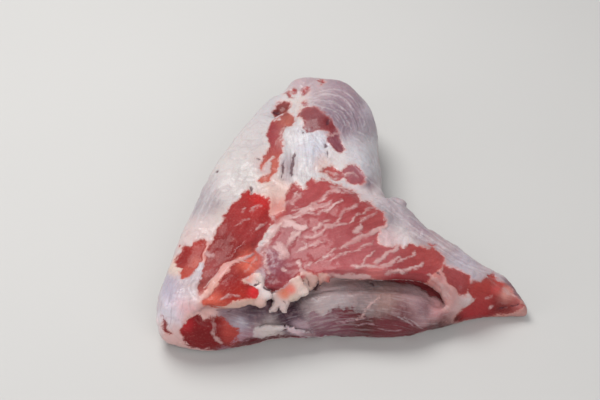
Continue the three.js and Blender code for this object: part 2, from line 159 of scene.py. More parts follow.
# Outlines of the lean meat that shows through the fat, in pixels of the layout. One lies on both sides of
# the lip's line.
END_FACE = [
    (181, 333), (182, 323), (188, 319), (192, 316), (198, 314), (204, 318), (212, 318), (220, 317),
    (228, 320), (232, 326), (239, 328), (237, 335), (233, 343), (226, 347), (214, 350), (200, 350),
    (190, 347), (183, 341)]
LEAN = {
    "knob upper strip": [
        (276, 120), (282, 119), (286, 123), (285, 129), (282, 137), (279, 147), (274, 150), (271, 157),
        (266, 163), (262, 171), (260, 168), (264, 157), (269, 149), (270, 144), (267, 137), (268, 130),
        (272, 124)],
    "knob red": [
        (283, 113), (287, 112), (292, 117), (295, 122), (291, 126), (286, 125), (281, 121), (280, 116)],
    "strip beside the valley": [
        (276, 143), (283, 140), (284, 146), (281, 154), (278, 160), (280, 166), (276, 173), (271, 178),
        (266, 182), (261, 184), (259, 181), (262, 177), (268, 176), (272, 171), (271, 164), (274, 157),
        (271, 152)],
    # Painted shade: dark lean in the hollow beside the knob.
    "shaded hollow": [
        (271, 113), (275, 109), (278, 105), (284, 103), (290, 105), (288, 110), (284, 115), (279, 119),
        (275, 118)],
    "knob tip left": [(282, 94), (286, 92), (290, 91), (292, 95), (294, 98), (290, 99), (287, 96)],
    "knob tip middle": [(291, 90), (298, 88), (297, 92), (293, 95)],
    "knob tip right": [(300, 91), (305, 88), (310, 87), (309, 91), (305, 97), (302, 96)],
    "knob far spot": [(318, 81), (323, 80), (325, 84), (321, 86)],
    "knob small spot": [(302, 102), (307, 101), (310, 104), (304, 106)],
    "dome muscle": [
        (298, 116), (300, 110), (306, 107), (316, 108), (324, 111), (329, 116), (332, 121), (335, 128),
        (339, 135), (342, 142), (344, 149), (341, 153), (336, 150), (331, 146), (327, 142), (329, 137),
        (330, 133), (325, 132), (319, 130), (313, 131), (307, 133), (303, 128), (305, 121)],
    "seam below the tendon": [
        (319, 173), (323, 170), (328, 168), (331, 165), (335, 167), (338, 170), (342, 172), (344, 176),
        (341, 181), (336, 182), (332, 178), (326, 175)],
    "seam right": [
        (342, 171), (350, 165), (356, 166), (361, 171), (365, 177), (362, 184), (355, 184), (348, 181),
        (343, 177)],
    "centre": [
        (288, 191), (286, 200), (285, 212), (276, 216), (283, 224), (277, 232), (270, 242), (262, 249),
        (262, 262), (265, 275), (262, 286), (268, 292), (276, 290), (284, 287), (292, 282), (298, 274),
        (303, 270), (311, 272), (318, 276), (330, 279), (345, 281), (365, 283), (380, 283), (395, 283),
        (412, 283), (426, 282), (434, 276), (440, 269), (444, 262), (443, 256), (436, 251), (427, 249),
        (418, 247), (409, 246), (403, 250), (399, 247), (392, 246), (385, 247), (379, 243), (377, 236),
        (381, 229), (386, 221), (384, 214), (376, 209), (374, 206), (367, 202), (360, 201), (360, 197),
        (356, 193), (345, 188), (335, 186), (329, 182), (322, 180), (316, 183), (312, 179), (308, 183),
        (306, 189), (302, 192), (299, 186), (294, 183)],
    "bridge": [(266, 214), (274, 216), (282, 213), (288, 217), (281, 223), (272, 226), (265, 222)],
    "ridge spot": [(427, 246), (432, 244), (438, 246), (433, 249)],
    "right": [
        (444, 264), (450, 266), (458, 270), (464, 273), (469, 277), (472, 283), (469, 292), (463, 296),
        (458, 294), (456, 288), (450, 284), (446, 280), (444, 275), (443, 269)],
    "tip": [
        (470, 282), (474, 280), (478, 282), (484, 279), (488, 275), (494, 274), (499, 281), (505, 285),
        (511, 290), (514, 295), (518, 300), (524, 306), (518, 312), (507, 313), (498, 314), (490, 317),
        (478, 320), (466, 323), (458, 326), (446, 331), (438, 332), (446, 322), (456, 313), (466, 308),
        (472, 302), (474, 297), (468, 290)],
    "left panel": [
        (232, 206), (238, 200), (243, 194), (250, 190), (252, 194), (260, 195), (268, 197), (270, 205),
        (270, 213), (272, 221), (267, 232), (261, 240), (257, 248), (256, 253), (248, 256), (240, 258),
        (230, 261), (223, 263), (219, 270), (212, 280), (206, 288), (199, 294), (198, 287), (201, 278),
        (203, 268), (205, 258), (208, 248), (212, 240), (216, 230), (222, 220), (228, 211)],
    "lower lobe": [
        (258, 252), (262, 258), (262, 264), (258, 268), (252, 276), (243, 281), (244, 284), (252, 285),
        (258, 290), (262, 297), (256, 299), (248, 299), (238, 301), (228, 305), (217, 308), (208, 307),
        (203, 303), (207, 298), (214, 291), (220, 283), (226, 274), (232, 267), (241, 262), (250, 258)],
    "left patch": [
        (181, 246), (186, 245), (190, 247), (195, 242), (203, 239), (205, 243), (204, 251), (200, 260),
        (196, 268), (190, 275), (182, 280), (179, 272), (182, 268), (177, 266), (174, 262), (179, 256),
        (182, 251)],
    "corner sliver": [(163, 314), (166, 319), (168, 327), (172, 332), (166, 333), (163, 325)],
    "end face": END_FACE,
}
# Outlines of the lean below the lip, in pixels of the layout.
FRONT_LEAN = {
    "end face": END_FACE,
    "roll muscle": [
        (313, 312), (322, 316), (330, 310), (337, 307), (345, 309), (352, 308), (360, 311), (366, 316),
        (372, 318), (385, 318), (398, 320), (412, 322), (424, 327), (440, 327), (430, 333), (410, 338),
        (380, 339), (350, 340), (325, 340), (316, 338), (312, 330), (310, 324), (308, 317)],
    # Partly painted shade: the foot of the front is painted dark maroon for the underside's shade, over red
    # juice.
    "shaded front foot": [
        (230, 343), (245, 339), (262, 336), (280, 334.5), (300, 334), (312, 336), (312, 346),
        (270, 350), (245, 354), (226, 353)],
    "cavity": [
        (366, 277), (380, 276), (398, 277), (412, 275), (425, 276), (433, 282), (438, 290), (445, 299),
        (449, 306), (442, 305), (434, 299), (426, 292), (414, 287), (400, 283), (384, 280), (368, 280)],
}
# Strokes of fat and connective tissue that cross the lean, and two painted glints on the tip: width, then
# points, in pixels of the layout.
STROKES = [
    (2.2, [(293, 210), (304, 209), (314, 204), (322, 198), (331, 191), (340, 187)]),
    (4.4, [(296, 214), (306, 209), (316, 207), (326, 205), (331, 200)]),
    (2.6, [(286, 222), (297, 215), (306, 212), (314, 213)]),
    (1.8, [(314, 214), (324, 212), (334, 206), (342, 200)]),
    (2.0, [(336, 224), (341, 214), (350, 209), (358, 205)]),
    (1.6, [(350, 223), (356, 216), (366, 211), (375, 207)]),
    (1.8, [(360, 226), (366, 218), (376, 213)]),
    (4.4, [(353, 232), (358, 230), (364, 227)]),
    (4.4, [(343, 246), (352, 242), (362, 237), (372, 232), (380, 228), (387, 225)]),
    (1.4, [(352, 252), (363, 247), (374, 241)]),
    (4.0, [(375, 263), (383, 257), (391, 252), (399, 247)]),
    (1.6, [(361, 265), (367, 257), (375, 250)]),
    (3.6, [(352, 265), (362, 266), (374, 267), (385, 266), (394, 261), (399, 258)]),
    (3.0, [(386, 272), (396, 271), (408, 270), (417, 268), (421, 265), (423, 262)]),
    (1.6, [(398, 263), (405, 259), (411, 255), (416, 252)]),
    (3.2, [(385, 274), (393, 271)]),
    (6.0, [(283, 226), (291, 224), (299, 227), (308, 229)]),
    (6.6, [(262, 250), (268, 240), (273, 232), (279, 225), (286, 220), (293, 217)]),
    (3.2, [(305, 236), (314, 238), (321, 234), (328, 227), (338, 224), (347, 222)]),
    (2.6, [(318, 236), (314, 231), (320, 226), (330, 220)]),
    (6.0, [(288, 246), (292, 240), (297, 234), (301, 231)]),
    (8.0, [(274, 246), (281, 248), (286, 253), (279, 257)]),
    (2.0, [(297, 253), (303, 248), (312, 244), (325, 240)]),
    (1.4, [(316, 263), (328, 254), (340, 247)]),
    (1.4, [(328, 262), (340, 255), (352, 250)]),
    (1.4, [(300, 240), (310, 246), (318, 244)]),
    (4.0, [(296, 262), (300, 262), (301, 268), (305, 272)]),
    (5.6, [(327, 275), (336, 276), (346, 277), (357, 277), (366, 277), (373, 278)]),
    (1.6, [(304, 267), (312, 264)]),
    (3.0, [(266, 246), (264, 257), (267, 268), (271, 276)]),
    (2.8, [(280, 269), (285, 270)]),
    (2.2, [(284, 207), (292, 200), (297, 192)]),
    (3.0, [(292, 206), (296, 199), (300, 195)]),
    (1.8, [(330, 186), (336, 190), (345, 193)]),
    (1.8, [(342, 188), (346, 192), (352, 193)]),
    (2.4, [(270, 215), (276, 221), (283, 219)]),
    (1.2, [(236, 226), (243, 221), (250, 219)]),
    (1.2, [(251, 211), (256, 207), (261, 205)]),
    (1.4, [(254, 230), (260, 226), (266, 223)]),
    (1.2, [(241, 213), (246, 210)]),
    (3.6, [(207, 252), (210, 256), (214, 254)]),
    (2.6, [(212, 317), (214, 325), (213, 334), (217, 340), (223, 343)]),
    (2.4, [(188, 318), (193, 312), (200, 310)]),
    (2.0, [(324, 173), (331, 173), (337, 176)]),
    (1.6, [(327, 177), (333, 178), (338, 179)]),
    (2.0, [(345, 176), (352, 174), (358, 177)]),
    (1.3, [(285, 124), (281, 134), (276, 146)]),
    (1.8, [(327, 135), (332, 136), (338, 133)]),
    (1.6, [(470, 281), (474, 283)]),
    # Painted highlights: two small glints on the wet tip.
    (1.2, [(486, 299), (492, 297)]),
    (1.4, [(489, 308), (494, 306)]),
    (1.6, [(502, 288), (508, 293), (515, 297)]),
    (3.6, [(428, 274), (434, 279), (440, 283), (444, 290), (450, 298)]),
    (1.8, [(222, 300), (232, 296), (241, 297)]),
    (1.4, [(244, 273), (250, 266), (256, 259)]),
    (1.8, [(357, 318), (364, 314), (367, 309), (373, 303), (380, 297)]),
    (2.4, [(436, 300), (444, 305), (450, 311)]),
]
# Slits and dark gaps, and two lines of painted shade: width, then points, in pixels of the layout.
SLITS_AND_SHADE_LINES = [
    (3.2, [(294, 153), (292, 162), (292, 176)]),
    (2.0, [(284, 160), (283, 170), (283, 179)]),
    (1.8, [(324, 144), (327, 149)]),
    (1.6, [(328, 151), (328, 158)]),
    (2.6, [(326, 124), (329, 119)]),
    (3.0, [(272, 112), (277, 113), (281, 110)]),
    (1.8, [(303, 134), (304, 130)]),
    (1.8, [(285, 124), (286, 127)]),
    (1.6, [(256, 160), (260, 159)]),
    (1.8, [(216, 174), (218, 171)]),
    (2.4, [(262, 288), (267, 290), (273, 289)]),
    (3.0, [(313, 290), (320, 286)]),
    (2.0, [(253, 286), (259, 284)]),
    (1.6, [(371, 283), (375, 287)]),
    (1.6, [(437, 272), (440, 275)]),
    (2.4, [(251, 194), (253, 188)]),
    # Painted shade: the crevice beneath the tip's pale fold and the line under the lower lobe's lip.
    (1.4, [(498, 311), (506, 308), (514, 305), (520, 303)]),
    (1.4, [(214, 309.5), (226, 310), (240, 308.5)]),
    (1.2, [(308, 277), (310, 286)]),
    (1.2, [(303, 285), (305, 279)]),
    (1.2, [(256, 279), (259, 284)]),
    (1.2, [(283, 301), (286, 306)]),
]
# Thin pale threads in the films, and below the lip painted highlights, streaks of glint on the wet roll and
# groove: width, then points, in pixels of the layout.
THREADS_AND_GLINTS = [
    (1.6, [(298, 107), (306, 104), (318, 106), (330, 110), (340, 117), (346, 126)]),
    (1.5, [(310, 102), (322, 101), (334, 104), (344, 110), (352, 119)]),
    (1.4, [(314, 97), (326, 95), (338, 97), (348, 104), (354, 112)]),
    (1.3, [(322, 91), (333, 90), (344, 93), (352, 99), (358, 107)]),
    (1.2, [(334, 108), (343, 115), (350, 126), (352, 134)]),
    (1.3, [(304, 100), (312, 98), (318, 99)]),
    (1.4, [(359, 112), (363, 120), (364, 128)]),
    (1.6, [(299, 130), (296, 142), (297, 156), (300, 170), (301, 182)]),
    (1.4, [(306, 132), (309, 146), (306, 160), (308, 174)]),
    (1.4, [(316, 134), (314, 147), (311, 158), (312, 168)]),
    (1.3, [(288, 128), (290, 142), (289, 152)]),
    (1.5, [(338, 152), (350, 158), (362, 162), (372, 170)]),
    (1.6, [(352, 138), (362, 144), (370, 155), (377, 170)]),
    (1.4, [(356, 132), (366, 138), (372, 148)]),
    (1.6, [(352, 165), (364, 176), (376, 188), (392, 202), (404, 210)]),
    (1.4, [(378, 204), (396, 216), (414, 228), (436, 243), (450, 254)]),
    (1.6, [(390, 226), (406, 231), (424, 240), (438, 249)]),
    (1.3, [(404, 214), (424, 226), (446, 242), (466, 256), (486, 264)]),
    (1.6, [(446, 254), (462, 264), (480, 272), (496, 274)]),
    (1.3, [(440, 244), (458, 256), (474, 262)]),
    (1.5, [(492, 266), (504, 276), (514, 288)]),
    (1.4, [(208, 196), (200, 214), (196, 230)]),
    (1.3, [(218, 178), (211, 192), (206, 206)]),
    (1.3, [(214, 200), (207, 212), (202, 222)]),
    # Most of these below the lip are painted highlights: glint streaks on the wet roll muscle and in the
    # groove.
    (1.5, [(316, 318), (324, 314), (331, 312)]),
    (1.6, [(316, 323), (324, 322)]),
    (1.3, [(336, 323), (346, 321), (354, 318)]),
    (1.4, [(286, 326), (296, 330), (307, 332), (314, 330)]),
    (1.3, [(240, 322), (248, 323)]),
    (1.3, [(310, 296), (318, 302), (322, 301)]),
    (1.4, [(404, 316), (414, 322), (424, 330)]),
    (1.3, [(336, 325), (350, 321), (364, 318), (374, 317)]),
    (1.3, [(356, 326), (366, 323), (378, 325)]),
    (1.4, [(396, 316), (406, 320), (414, 327)]),
    (1.2, [(236, 321), (244, 325), (250, 328)]),
    (1.3, [(378, 328), (392, 331), (404, 330)]),
]
# Films of silverskin and bare tendon, in pixels of the layout.
FILMS = {
    "dome": [
        (312, 93), (322, 88), (335, 87), (345, 89), (352, 95), (358, 103), (363, 113), (367, 124),
        (365, 130), (360, 131), (352, 135), (350, 141), (346, 148), (342, 144), (339, 136), (334, 127),
        (330, 118), (322, 110), (312, 107), (303, 106), (309, 100)],
    "tendon": [
        (290, 130), (300, 126), (318, 133), (328, 148), (324, 164), (312, 178), (302, 184), (288, 182),
        (284, 160)],
    "left membrane": [
        (217, 172), (208, 181), (200, 192), (188, 222), (200, 214), (226, 204), (220, 190)],
    "cartilage": [
        (163, 285), (172, 278), (185, 281), (194, 274), (200, 264), (203, 268), (200, 282), (198, 292),
        (196, 303), (190, 312), (182, 320), (176, 331), (168, 328), (162, 315), (158, 300)],
    "ridge": [
        (362, 190), (380, 196), (404, 210), (440, 236), (470, 256), (500, 272), (516, 292), (500, 280),
        (478, 272), (450, 262), (430, 244), (404, 228), (384, 210)],
    "groove and roll": [
        (220, 312), (250, 304), (290, 300), (320, 288), (350, 282), (400, 284), (436, 304), (450, 314),
        (436, 326), (400, 332), (340, 334), (280, 336), (240, 340), (232, 324)],
    "knob top": [
        (282, 92), (290, 88), (300, 83), (312, 82), (312, 90), (306, 98), (296, 101), (286, 99)],
    "centre left": [
        (262, 250), (270, 247), (280, 252), (282, 262), (276, 270), (274, 280), (266, 288), (261, 280),
        (262, 264)],
}
# Guides that the fibres follow, in pixels of the layout.
GUIDES = [
    [(306, 108), (318, 98), (331, 98), (343, 105), (352, 118), (356, 134)],
    [(298, 128), (302, 150), (300, 180)],
    [(318, 132), (330, 150), (345, 162)],
    [(352, 132), (362, 155), (378, 185), (400, 212), (432, 238), (468, 262), (500, 278), (524, 304)],
    [(262, 268), (290, 240), (330, 222), (378, 206)],
    [(290, 282), (330, 262), (370, 256), (430, 250)],
    [(202, 288), (218, 256), (238, 224), (264, 200)],
    [(205, 304), (228, 284), (258, 260)],
    [(222, 322), (262, 330), (300, 322), (340, 312), (380, 314), (430, 322), (460, 315)],
    [(310, 296), (350, 290), (400, 292), (440, 305)],
    [(184, 246), (206, 202), (228, 168), (252, 130), (290, 95)],
    [(160, 320), (170, 285), (196, 246)],
    [(204, 318), (206, 348)],
    [(452, 276), (480, 292), (522, 306)],
    [(270, 140), (266, 180)],
]
# Colours of the lean, in sRGB from 0 to 255: where it is, layout x, y, how far it reaches, colour.
LEAN_TONES = [
    ("upper strip", 272, 138, 12, (162, 68, 74)),
    ("knob red", 288, 119, 6, (196, 114, 98)),
    ("upper strip pale", 282, 133, 4, (194, 120, 116)),
    ("upper strip low", 281, 144, 3, (204, 140, 134)),
    ("valley strip", 274, 168, 10, (200, 108, 94)),
    # Painted shade: the hollow beside the knob and its edge are painted near black.
    ("shaded hollow", 283, 110, 6, (98, 12, 18)),
    ("knob tips", 300, 91, 14, (172, 84, 86)),
    ("dome muscle", 312, 118, 9, (142, 84, 90)),
    ("dome red", 328, 126, 6, (138, 56, 60)),
    ("dome low", 338, 144, 8, (138, 82, 94)),
    ("seam red", 328, 169, 7, (196, 100, 96)),
    ("seam right", 354, 175, 8, (164, 110, 120)),
    ("centre top", 300, 194, 10, (172, 74, 78)),
    ("centre upper", 322, 190, 14, (184, 82, 84)),
    ("centre lobes", 350, 205, 18, (168, 66, 68)),
    ("centre lobe right", 372, 218, 10, (182, 88, 86)),
    ("centre", 330, 235, 26, (178, 92, 96)),
    ("centre right", 365, 252, 22, (190, 106, 110)),
    ("centre low", 320, 262, 14, (184, 92, 96)),
    ("centre left", 285, 240, 14, (168, 88, 94)),
    ("centre mauve", 272, 262, 9, (148, 94, 108)),
    ("centre dark", 282, 280, 8, (150, 60, 68)),
    ("lip front", 317, 269.5, 5, (168, 44, 50)),
    ("above the cavity", 415, 268, 7, (182, 84, 84)),
    ("centre far right", 425, 258, 14, (182, 84, 82)),
    ("right", 457, 280, 10, (164, 80, 82)),
    ("tip upper", 484, 287, 10, (190, 80, 74)),
    ("tip lower", 480, 308, 12, (172, 56, 60)),
    ("tip shadow", 501, 306, 7, (110, 20, 26)),
    ("tip pale", 506, 297, 4.5, (230, 170, 160)),
    ("tip end", 518, 303, 5, (194, 110, 108)),
    ("left panel top", 255, 208, 14, (176, 52, 50)),
    ("blood", 259, 200, 6, (226, 26, 36)),
    ("bridge", 277, 219, 4, (200, 98, 90)),
    ("left panel", 240, 228, 18, (166, 60, 60)),
    ("left panel dark", 226, 246, 12, (130, 24, 28)),
    ("left panel low", 213, 262, 9, (166, 76, 76)),
    ("left panel grain", 205, 284, 7, (168, 90, 88)),
    ("lower lobe", 232, 282, 11, (156, 46, 46)),
    ("lower lobe orange", 212, 302, 7, (228, 110, 90)),
    ("lower lobe far", 250, 262, 7, (255, 132, 110)),
    ("lower lobe blood", 255, 293, 3.6, (240, 62, 68)),
    ("lower lobe front", 238, 293, 6, (196, 66, 56)),
    ("left patch", 186, 258, 7, (156, 46, 46)),
    ("left patch edge", 199, 248, 6, (188, 70, 62)),
    ("left patch right", 195, 263, 4, (214, 108, 92)),
    ("left patch low", 185, 272, 4, (202, 92, 78)),
    ("end face", 200, 334, 13, (134, 38, 42)),
    ("end face bright", 186, 324, 5, (206, 50, 58)),
    ("end face right", 231, 331, 6, (200, 84, 76)),
    ("roll muscle", 348, 314, 9, (108, 44, 52)),
    ("roll muscle low", 332, 330, 12, (134, 84, 98)),
    ("roll muscle right", 398, 328, 14, (122, 56, 64)),
    # Partly painted shade at the foot of the front, over red juice.
    ("shaded front foot", 262, 345, 14, (104, 36, 46)),
    ("cavity", 412, 284, 14, (154, 78, 82)),
    ("valley strip low", 265, 179, 5, (208, 110, 92)),
    ("shaded hollow edge", 276, 112, 3, (110, 60, 66)),
    ("lip pink", 372, 275, 7, (224, 126, 122)),
    ("lip red", 398, 277, 7, (168, 60, 68)),
    ("lip red right", 421, 275, 7, (160, 48, 58)),
    # Partly painted highlight: film over the roll muscle's left end, lightened for its highlights.
    ("roll muscle left glint", 318, 319, 7, (160, 128, 138)),
    ("roll muscle mid", 366, 321, 7, (88, 24, 32)),
    ("tip low left", 450, 324, 8, (84, 28, 32)),
    ("tip highlight", 494, 289, 2.6, (240, 106, 104)),
    ("tip low right", 508, 303, 4, (150, 52, 50)),
]
# Colours of the fat, the films and the gristle, laid out in the same way.
FAT_TONES = [
    ("slab top", 270, 105, 14, (200, 196, 200)),
    ("slab", 240, 165, 26, (214, 208, 206)),
    ("slab mid", 250, 140, 16, (210, 202, 203)),
    ("slab low", 228, 192, 14, (214, 204, 204)),
    ("slab edge", 262, 160, 7, (212, 184, 182)),
    ("membrane", 206, 190, 9, (172, 160, 166)),
    ("membrane low", 200, 208, 8, (174, 166, 172)),
    ("membrane right", 215, 206, 6, (150, 134, 140)),
    ("band low", 206, 228, 10, (220, 200, 198)),
    ("band edge", 220, 216, 6, (218, 202, 196)),
    ("nub", 176, 271, 4, (228, 204, 190)),
    ("band beside the panel", 206, 250, 5, (214, 146, 140)),
    ("cartilage", 171, 291, 8, (180, 172, 190)),
    ("cartilage mid", 186, 286, 8, (208, 188, 192)),
    ("cartilage low", 172, 310, 9, (236, 228, 240)),
    ("cartilage pink", 185, 307, 6, (255, 188, 188)),
    ("corner rim", 159, 305, 5, (206, 190, 194)),
    ("corner foot", 172, 338, 9, (226, 184, 180)),
    ("wedge", 230, 265, 5, (226, 168, 162)),
    ("wedge low", 206, 294, 6, (222, 166, 154)),
    ("lip rim left", 318, 270, 7, (182, 78, 78)),
    ("lip rim", 350, 275, 9, (240, 190, 184)),
    ("lip rim right", 385, 277, 9, (160, 84, 86)),
    ("lobe rim", 236, 301, 6, (222, 182, 168)),
    ("saddle", 274, 192, 10, (224, 188, 178)),
    ("saddle orange", 276, 206, 6, (210, 118, 108)),
    ("valley side", 288, 165, 5, (176, 152, 160)),
    ("valley lilac", 287, 178, 4, (172, 152, 158)),
    ("valley pink", 264, 168, 5, (186, 140, 142)),
    ("knob fat", 296, 103, 8, (220, 208, 204)),
    ("knob far", 303, 82, 7, (190, 168, 174)),
    ("knob pink", 318, 92, 8, (200, 180, 184)),
    ("dome film", 340, 110, 14, (156, 134, 146)),
    ("dome film low", 352, 124, 11, (136, 116, 130)),
    ("dome top", 338, 90, 8, (172, 148, 158)),
    ("dome right", 366, 128, 6, (182, 170, 182)),
    ("dome edge", 366, 112, 5, (206, 194, 206)),
    ("tendon", 304, 150, 12, (216, 212, 216)),
    ("tendon blue", 315, 152, 8, (214, 218, 234)),
    ("tendon right", 335, 158, 9, (222, 212, 212)),
    ("tendon low", 300, 172, 7, (220, 214, 214)),
    ("tendon orange", 321, 162, 5, (230, 186, 170)),
    ("side fat", 360, 150, 12, (204, 200, 206)),
    ("side grey", 372, 165, 8, (204, 202, 208)),
    ("side edge", 380, 175, 5, (184, 176, 182)),
    ("mauve strip", 368, 184, 4, (112, 84, 98)),
    ("ridge start", 366, 196, 8, (220, 206, 208)),
    ("ridge", 395, 212, 11, (180, 168, 174)),
    ("ridge lilac", 415, 226, 8, (158, 138, 148)),
    ("ridge pale", 405, 234, 7, (230, 218, 218)),
    ("white patch", 386, 241, 7, (224, 194, 196)),
    ("ridge mid", 440, 248, 9, (180, 160, 164)),
    ("ridge low", 465, 266, 10, (196, 186, 196)),
    ("ridge tail", 490, 270, 9, (200, 180, 186)),
    ("ridge end", 512, 288, 6, (132, 94, 102)),
    ("white band", 452, 292, 8, (206, 152, 148)),
    ("white band low", 464, 303, 6, (196, 168, 168)),
    ("white band top", 436, 272, 5, (196, 126, 122)),
    ("tail foot", 512, 312, 6, (190, 142, 136)),
    ("cartilage white", 191, 296, 6, (222, 212, 214)),
    ("cartilage upper", 197, 276, 5, (204, 194, 200)),
    # Painted light: lighter than the fat, to lift the shade of the hollow under the lobe.
    ("under the lobe", 206, 312, 5, (214, 166, 164)),
    ("rim outer", 160, 325, 6, (250, 234, 236)),
    ("white flap", 466, 297, 4, (234, 216, 216)),
    ("veil", 269, 266, 7, (190, 158, 166)),
    ("veil pale", 263, 281, 4, (222, 202, 206)),
]
# Colours of the torn flakes.
FLAKE_TONES = [
    ("first tab", 259, 281, 5, (246, 224, 218)),
    ("first tab white", 265, 293, 4, (232, 216, 214)),
    ("first tab edge", 259, 302, 4, (216, 176, 166)),
    ("first tab pink", 248, 277, 4, (224, 136, 122)),
    ("second tab", 283.5, 295, 2.8, (222, 120, 88)),
    ("second tab top", 299, 284, 4, (228, 196, 186)),
    ("second tab right", 304, 292, 4, (220, 200, 192)),
    ("second tab low", 295, 298, 3, (206, 184, 170)),
    ("lip curl red", 328, 279, 1.6, (196, 84, 84)),
    ("second tab rim", 280, 304, 5, (208, 184, 180)),
    ("lip crumb", 309, 282, 4, (204, 164, 154)),
    ("lip fringe", 308, 274, 4, (220, 174, 166)),
    ("lip curl", 324, 277, 3, (214, 160, 150)),
    ("second tab orange", 291.5, 289.5, 2.8, (230, 118, 104)),
    ("ledge", 268, 331, 9, (212, 198, 196)),
    ("ledge shade", 258, 335, 3, (198, 176, 180)),
    ("ledge right", 296, 329, 6, (214, 186, 194)),
    ("ledge torn edge", 306, 333, 4, (136, 104, 110)),
]
# Colours of the films below the lip.
FRONT_TONES = [
    ("groove", 250, 316, 10, (112, 88, 98)),
    # Painted shade: the groove recessed under the torn tabs.
    ("groove shade", 287, 307, 9, (72, 48, 60)),
    ("groove left", 230, 314, 7, (158, 130, 138)),
    # Painted highlight: bluish white glints on the groove's wet film.
    ("groove highlight", 241, 324, 5, (198, 190, 204)),
    ("groove pale", 268, 331, 7, (220, 202, 200)),
    ("groove low", 248, 338, 7, (174, 128, 140)),
    # Painted shade in the groove under the tabs.
    ("groove shaded mauve", 291, 317, 8, (74, 44, 60)),
    # Painted light: lighter than the groove, to lift the deep shade in the gap between the tabs.
    ("between the tabs", 270, 304, 4, (150, 112, 124)),
    ("ledge right", 297, 328, 4.5, (204, 178, 188)),
    ("roll left", 312, 302, 9, (178, 158, 158)),
    # Painted light: the roll's top, lighter where it faces up.
    ("roll lit top", 338, 297, 10, (176, 162, 164)),
    ("roll", 364, 299, 12, (140, 120, 120)),
    ("roll yellow", 386, 300, 8, (162, 130, 122)),
    ("roll right", 418, 299, 11, (192, 158, 160)),
    ("roll far", 440, 307, 7, (234, 170, 172)),
    # Painted shade: dark colour at the roll's lower edge on the right.
    ("roll shade low right", 446, 320, 9, (76, 24, 30)),
    ("roll low", 400, 316, 11, (106, 44, 50)),
    # Painted light: the three tones under the lip are lighter than the film, to lift the shade of the hollow
    # there.
    ("under the lip left", 326, 284, 7, (226, 186, 184)),
    ("under the lip", 352, 284, 7, (176, 140, 138)),
    ("under the lip right", 395, 285, 8, (156, 122, 122)),
    ("corner foot", 172, 338, 9, (226, 184, 180)),
    ("white band low", 462, 306, 6, (206, 168, 168)),
    ("roll muscle edge", 301, 327, 4.5, (190, 160, 170)),
    ("roll lilac", 422, 308, 5, (108, 68, 84)),
    # Painted light: lighter than the fat, to lift the shade of the hollow under the lobe.
    ("under the lobe", 206, 312, 6, (236, 190, 184)),
    ("roll shine", 420, 316, 5, (184, 144, 148)),
]
# Tones are colours as they look in the studio. The wet surface adds SHEEN, and LIT is the light on the top.
SHEEN = 0.016
LIT = 1.10
# Unseen sides: colours of the fat and of the lean there, and how large and how rare the patches of lean are.
UNSEEN_FAT = (204, 192, 194)
UNSEEN_LEAN = (150, 70, 74)
UNSEEN_LEAN_SIZE = 40.0
UNSEEN_LEAN_GAIN = 5
UNSEEN_LEAN_CUT = 3.8
# Colours that the material lays over the tones.
LEAN_SHADE = (200, 112, 112)
DARK_FIBRE = (120, 36, 40)
VEIN_COLOUR = (208, 150, 146)
# Pale specks on the lean: partly marbling, partly painted glints of the wet surface.
PALE_SPECK_AND_GLINT = (214, 140, 126)
DARK_GRAIN = (104, 30, 32)
LEAN_RIM = (206, 110, 102)
FAT_PINK = (206, 170, 170)
FILM_PALE = (222, 216, 222)
FILM_DARK = (140, 118, 134)
FAT_SPECK = (206, 146, 140)
FOLD_SHADE = (170, 140, 146)
FAT_RIM = (220, 144, 132)
# The two thread colours paint pale threads and, below the lip, painted highlight streaks.
THREAD_AND_GLINT_COLOUR = (222, 214, 218)
THREAD_AND_GLINT_ON_LEAN = (214, 176, 184)
# The stroke colour also paints two glints on the tip.
STROKE_COLOUR = (216, 176, 174)
# The slit colour also paints the lines of painted shade under the lower lobe and in the tip's crevice.
SLIT_AND_SHADE_COLOUR = (92, 52, 60)
# Painted shade: how much darker the colours are painted in the hollow under the lip.
HOLLOW_SHADE = 0.26
# Scales of the material's noises, and how its strands and threads are stretched along the fibres.
BROAD_SCALE = 70.0
MID_SCALE = 320.0
SPECK_SCALE = 620.0
FINE_SCALE = 1100.0
STRAND_STRETCH = (0.05, 0.5, 1.0)
THREAD_STRETCH = (0.12, 1.1, 1.0)
FAT_ROUGHNESS = 0.50
# How sharp the lean's edge is below the lip, and which lean is cut across its grain.
FRONT_EDGE = 0.5
GRAINY = ("left panel", "lower lobe", "left patch", "end face")
# How far the marks wander, in pixels of the layout, and over what distance, in millimetres.
WANDER = 2.0
WANDER_SIZE = 9.0
THREAD_WANDER = 0.8
# Pixels that the marks lose on unseen sides, and the most that the lean's depth counts.
HIDDEN_CUT = 4
LEAN_CAP = 6
# Relief, in millimetres.
RELAX_ROUNDS = 2
FAT_RISE = 0.85
STROKE_RISE = 0.35
SLIT_DEPTH = 1.2
THREAD_RISE = 0.25
FIBRE_RISE = 0.18
FILM_FIBRE_RISE = 0.34
LUMP_RISE = 0.60
LUMP_SIZE = 13.0
FLAKE_LUMP_RISE = 0.35
FLAKE_LUMP_SIZE = 3.6
FOLD_DEPTH = 0.55
FOLD_SIZE = 16.0
FOLD_SHARPNESS = 5
FLAT_FOOT = 4
ATTRIBUTES = {
    "FLOAT": ("lean", "stroke", "slit_and_shade", "film", "plain_rim", "thread_and_glint", "grain", "fold"),
    "FLOAT_VECTOR": ("fibres",),
    "FLOAT_COLOR": ("lean_tone", "fat_tone"),
}

